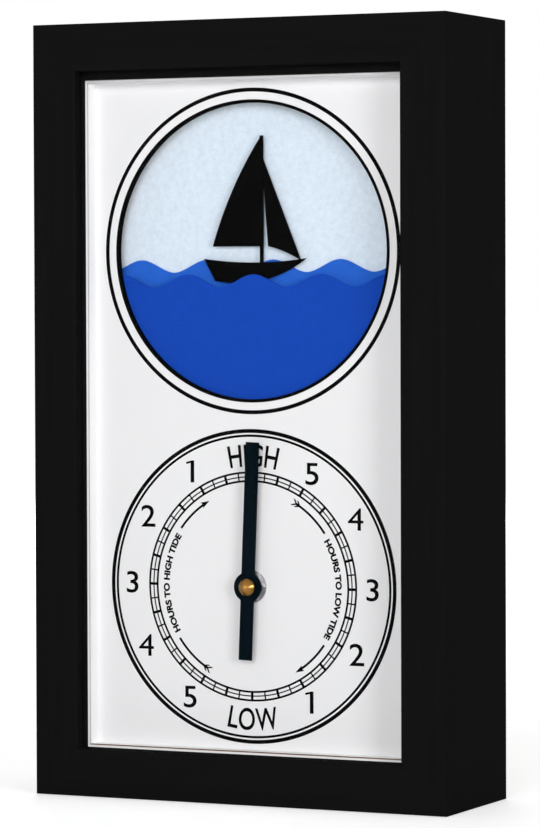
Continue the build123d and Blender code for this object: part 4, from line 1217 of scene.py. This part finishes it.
class CLOCK_OT_mould_signs(Operator):
    """Moulds the signs on the housings: the poles of the cells and the way that the knob turns"""

    bl_idname = "tide_clock.mould_signs"
    bl_label = "Mould Signs"

    def execute(self, context):
        sizes = context.scene.clock_fixings
        # Painted highlight: the signs are a lighter copy of the housing's black, standing in for the light
        # that raised mouldings catch
        tone = shade(context.scene.clock_colours.housing, 12.0)
        material = skin_finish("sign_moulding_painted_highlight", tone, roughness=0.5, grain=1500.0, depth=20 * MICRON)
        for name, cover, cell, slot in (
            ("drive_pole_signs", "drive_cover", "c", "drive_plastic"),
            ("movement_pole_signs", "movement_cover", "aa", "movement_plastic"),
        ):
            self.mark_poles(sizes, name, cover, cell, slot, material)
        self.mark_knob(sizes, material)
        return {"FINISHED"}

    def mark_poles(self, sizes, name, cover, cell, slot, material):
        """A plus and a minus on a cover, beside the ends of its cell."""
        low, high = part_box(cover)
        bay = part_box(cell + "_cell")[0].z
        up = high.z - sizes.sign_inset if bay > low.z else low.z + sizes.sign_inset
        bar = (-sizes.sign_size / 2, sizes.sign_size / 2)
        depths = (high.y, high.y + sizes.sign_height)
        bm = bmesh.new()
        for pole, turns in (("positive", (0, pi / 2)), ("negative", (pi / 2,))):
            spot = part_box(f"{cell}_contact_{pole}")
            side = 1 if spot[0].x > 0 else -1
            axis = Vector((side * (high.x - sizes.sign_reach), 0, up))
            for turn in turns:
                add_mark(bm, axis, turn, bar, sizes.sign_line, depths)
        add_piece(bm, name, material, "case")

    def mark_knob(self, sizes, material):
        """A curved arrow on the movement's cover, round the setting knob."""
        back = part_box("movement_cover")[1].y
        top = back + sizes.sign_height
        low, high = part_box("set_knob")
        radius = (high.x - low.x) / 2 + sizes.knob_arrow_gap
        radii = (radius - sizes.sign_line / 2, radius + sizes.sign_line / 2)
        start, sweep = sizes.knob_arrow_start, sizes.knob_arrow_sweep
        bm = bmesh.new()
        add_band(bm, KNOB_AXIS, radii, (back, top), start, sweep, SMALL_ROUND_STEPS)
        place = on_circle(KNOB_AXIS, top, start + sweep, radius)
        add_plate(bm, SIGN_POINT, MM, place, sizes.sign_height)
        add_piece(bm, "knob_arrow", material, "case")


class CLOCK_OT_finish_strips(Operator):
    """Gives the retaining strips raw pine and the hanger zinc-plated steel"""

    bl_idname = "tide_clock.finish_strips"
    bl_label = "Finish Strips"

    def execute(self, context):
        tones = context.scene.clock_colours
        dress_strips(
            ("retainer",),
            "pine",
            tone=tones.pine,
            light=1.15,
            dark=0.7,
            scale=220.0,
            roughness=0.7,
            depth=40 * MICRON,
        )
        zinc = brushed_finish("zinc_plate", shade(tones.steel, 0.55), roughness=0.5)
        dress(zinc, "sawtooth_hanger", "hanger_nails")
        return {"FINISHED"}


class CLOCK_OT_finish_drive(Operator):
    """Finishes the rocker drive behind the picture"""

    bl_idname = "tide_clock.finish_drive"
    bl_label = "Finish Drive"

    def execute(self, context):
        tones = context.scene.clock_colours
        black = tones.housing
        moulding = skin_finish("drive_moulding", black, roughness=0.55, grain=1500.0, depth=40 * MICRON)
        dress(moulding, "drive_case", "drive_cover", "rocker_lever")
        steel = brushed_finish("drive_steel", tones.steel, roughness=0.3)
        dress(steel, "rocker_shaft", "c_contact_positive", "c_contact_negative")
        dress(brushed_finish("nickel_plate", shade(tones.steel, 1.15), roughness=0.14), "rocker_magnet")
        dress(circuit_finish("drive_circuit", tones.circuit), "drive_board")
        return {"FINISHED"}


class CLOCK_OT_finish_movement(Operator):
    """Finishes the tide movement and its wheels"""

    bl_idname = "tide_clock.finish_movement"
    bl_label = "Finish Movement"

    def execute(self, context):
        tones = context.scene.clock_colours
        black = tones.housing
        case = skin_finish("movement_moulding", black, roughness=0.48, grain=1800.0, depth=30 * MICRON)
        dress(case, "movement_case", "movement_cover")
        wheels = skin_finish(
            "natural_moulding", tones.wheels, roughness=0.45, grain=2500.0, depth=10 * MICRON, swing=0.04
        )
        dress(wheels, "hand_wheel", "motion_wheel", "centre_pinion", "centre_wheel")
        dress(wheels, "third_wheel", "second_wheel", "rotor")
        knob = skin_finish("red_moulding", tones.knob, roughness=0.4, grain=2200.0, depth=20 * MICRON)
        dress(knob, "set_knob")
        soot = shade(black, 0.9)
        rubber = skin_finish("gasket_rubber", soot, roughness=0.8, grain=1200.0, depth=60 * MICRON)
        dress(rubber, "movement_gasket")
        steel = brushed_finish("movement_steel", tones.steel, roughness=0.3)
        dress(steel, "stator", "quartz_crystal", "aa_contact_positive", "aa_contact_negative")
        dress(circuit_finish("movement_circuit", tones.circuit), "circuit_board")
        return {"FINISHED"}


class CLOCK_OT_wind_coils(Operator):
    """Gives both coils the fine layers of enamelled wire"""

    bl_idname = "tide_clock.wind_coils"
    bl_label = "Wind Coils"

    def execute(self, context):
        copper = brushed_finish("copper_winding", context.scene.clock_colours.copper, roughness=0.3)
        dress(copper, "drive_coil", "stepper_coil")
        return {"FINISHED"}


class CLOCK_OT_wrap_cells(Operator):
    """Gives both cells a plain wrap with a dark band at one end and bare steel ends"""

    bl_idname = "tide_clock.wrap_cells"
    bl_label = "Wrap Cells"

    def execute(self, context):
        tones = context.scene.clock_colours
        share = context.scene.clock_fixings.band_share
        for node in ("c_cell", "aa_cell"):
            low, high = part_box(node)
            finish = Finish(node + "_wrap")
            wrap, band = (
                finish.group("Moulded Skin", Color=tone, Grain_Scale=1200.0, Shade=0.06, Roughness=0.3)
                for tone in (tones.wrap, tones.wrap_band)
            )
            start = high.x - share * (high.x - low.x)
            belt = spread(finish.tree, finish.part(finish.place, "X"), start - BAND_EDGE, start + BAND_EDGE)
            painted = blend_colours(finish.tree, belt, wrap["Color"], band["Color"])
            ends = finish.on_ends()
            surface = blend_colours(finish.tree, ends, painted, tones.steel)
            finish.set(Base_Color=surface, Metallic=ends, Roughness=wrap["Roughness"])
            finish.bump(wrap["Height"], 8 * MICRON)
            dress(finish.material, node)
        return {"FINISHED"}


class CLOCK_OT_set_stage(Operator):
    """Lays the floor and sets the lamps, the world and the camera"""

    bl_idname = "tide_clock.set_stage"
    bl_label = "Set Stage"

    def execute(self, context):
        scene = context.scene
        stage = scene.clock_stage
        scene.view_settings.view_transform = "Standard"
        self.lay_floor(scene, stage)
        self.light_world(scene, stage)
        aim = Vector((0, 0, stage.lamp_aim))
        self.hang_lamp(scene, "key_lamp", stage.key_power, stage.key_size, stage.key_place, aim)
        self.hang_lamp(scene, "side_lamp", stage.side_power, stage.side_size, stage.side_place, aim)
        self.hang_lamp(scene, "back_lamp", stage.back_power, stage.back_size, stage.back_place, aim)
        self.set_camera(scene, stage)
        return {"FINISHED"}

    def seen_rays(self, tree):
        """1 for the rays that show the background: from the camera, off gloss or through glass."""
        path = tree.nodes.new("ShaderNodeLightPath").outputs
        direct = maths(tree, "ADD", path["Is Camera Ray"], path["Is Glossy Ray"])
        return maths(tree, "ADD", direct, path["Is Transmission Ray"], clamp=True)

    def lay_floor(self, scene, stage):
        """A wide floor that glows less near the clock, so that the clock's shadow shows on it."""
        bm = bmesh.new()
        bmesh.ops.create_circle(bm, cap_ends=True, segments=LARGE_ROUND_STEPS, radius=stage.floor_radius)
        mesh = bpy.data.meshes.new("floor")
        bm.to_mesh(mesh)
        bm.free()
        floor = bpy.data.objects.new("floor", mesh)
        floor.location.z = -stage.floor_gap
        scene.collection.objects.link(floor)
        finish = Finish("floor_paper", Base_Color=stage.floor, Roughness=0.9, Specular_IOR_Level=0.0)
        away = vector_maths(finish.tree, "LENGTH", finish.place)
        glow = spread(finish.tree, away, stage.near_reach, stage.far_reach, stage.near_glow, stage.far_glow)
        strength = maths(finish.tree, "MULTIPLY", self.seen_rays(finish.tree), glow)
        finish.set(Emission_Color=(1, 1, 1), Emission_Strength=strength)
        mesh.materials.append(finish.material)

    def light_world(self, scene, stage):
        """A white world that lights the clock more softly than it shows."""
        world = bpy.data.worlds.new("studio")
        world.use_nodes = True
        tree = world.node_tree
        light, white = (
            add_node(tree, "Background", Color=(1, 1, 1), Strength=strength).outputs["Background"]
            for strength in (stage.world_light, 1.0)
        )
        choose(tree, self.seen_rays(tree), light, white, "World Output")
        scene.world = world

    def hang_lamp(self, scene, name, power, size, place, aim):
        """A square lamp that points at the clock."""
        lamp = bpy.data.lights.new(name, "AREA")
        lamp.energy = power
        lamp.size = size
        holder = bpy.data.objects.new(name, lamp)
        holder.location = place
        holder.rotation_euler = (aim - place).to_track_quat("-Z", "Y").to_euler()
        scene.collection.objects.link(holder)

    def set_camera(self, scene, stage):
        """The camera, where the photograph was taken from."""
        lens = bpy.data.cameras.new("camera")
        lens.lens = stage.lens
        camera = bpy.data.objects.new("camera", lens)
        forward = stage.camera_view.normalized()
        right = forward.cross(stage.camera_up).normalized()
        turn = Matrix((right, right.cross(forward), -forward)).transposed().to_4x4()
        camera.matrix_world = Matrix.Translation(stage.camera_place) @ turn
        scene.collection.objects.link(camera)
        scene.camera = camera


class CLOCK_PT_dressing(Panel):
    """Lists the steps of the dressing and the settings that they use"""

    bl_idname = "CLOCK_PT_dressing"
    bl_label = "Tide Clock"
    bl_space_type = "VIEW_3D"
    bl_region_type = "UI"
    bl_category = "Tide Clock"

    def draw(self, context):
        scene = context.scene
        for operator in OPERATORS:
            self.layout.operator(operator.bl_idname)
        for group in (scene.clock_print, scene.clock_colours, scene.clock_fixings, scene.clock_stage):
            column = self.layout.column(align=True)
            for setting in group.__annotations__:
                column.prop(group, setting)


GROUPS = (ClockPrint, ClockColours, ClockFixings, ClockStage)
OPERATORS = (
    CLOCK_OT_paint_frame,
    CLOCK_OT_glaze,
    CLOCK_OT_finish_dial,
    CLOCK_OT_line_fillet,
    CLOCK_OT_print_rings,
    CLOCK_OT_print_marks,
    CLOCK_OT_print_numbers,
    CLOCK_OT_print_words,
    CLOCK_OT_print_arrows,
    CLOCK_OT_finish_picture,
    CLOCK_OT_finish_hand,
    CLOCK_OT_turn_nut,
    CLOCK_OT_fit_screws,
    CLOCK_OT_mould_signs,
    CLOCK_OT_finish_strips,
    CLOCK_OT_finish_drive,
    CLOCK_OT_finish_movement,
    CLOCK_OT_wind_coils,
    CLOCK_OT_wrap_cells,
    CLOCK_OT_set_stage,
)


def register():
    for item in (*GROUPS, *OPERATORS, CLOCK_PT_dressing):
        bpy.utils.register_class(item)
    bpy.types.Scene.clock_print = PointerProperty(type=ClockPrint)
    bpy.types.Scene.clock_colours = PointerProperty(type=ClockColours)
    bpy.types.Scene.clock_fixings = PointerProperty(type=ClockFixings)
    bpy.types.Scene.clock_stage = PointerProperty(type=ClockStage)


def unregister():
    del bpy.types.Scene.clock_stage
    del bpy.types.Scene.clock_fixings
    del bpy.types.Scene.clock_colours
    del bpy.types.Scene.clock_print
    for item in (CLOCK_PT_dressing, *reversed(OPERATORS), *reversed(GROUPS)):
        bpy.utils.unregister_class(item)


def main():
    register()
    clock = bpy.ops.tide_clock
    clock.paint_frame()
    clock.glaze()
    clock.finish_dial()
    clock.line_fillet()
    clock.print_rings()
    clock.print_marks()
    clock.print_numbers()
    clock.print_words()
    clock.print_arrows()
    clock.finish_picture()
    clock.finish_hand()
    clock.turn_nut()
    clock.fit_screws()
    clock.mould_signs()
    clock.finish_strips()
    clock.finish_drive()
    clock.finish_movement()
    clock.wind_coils()
    clock.wrap_cells()
    clock.set_stage()


if __name__ == "__main__":
    main()
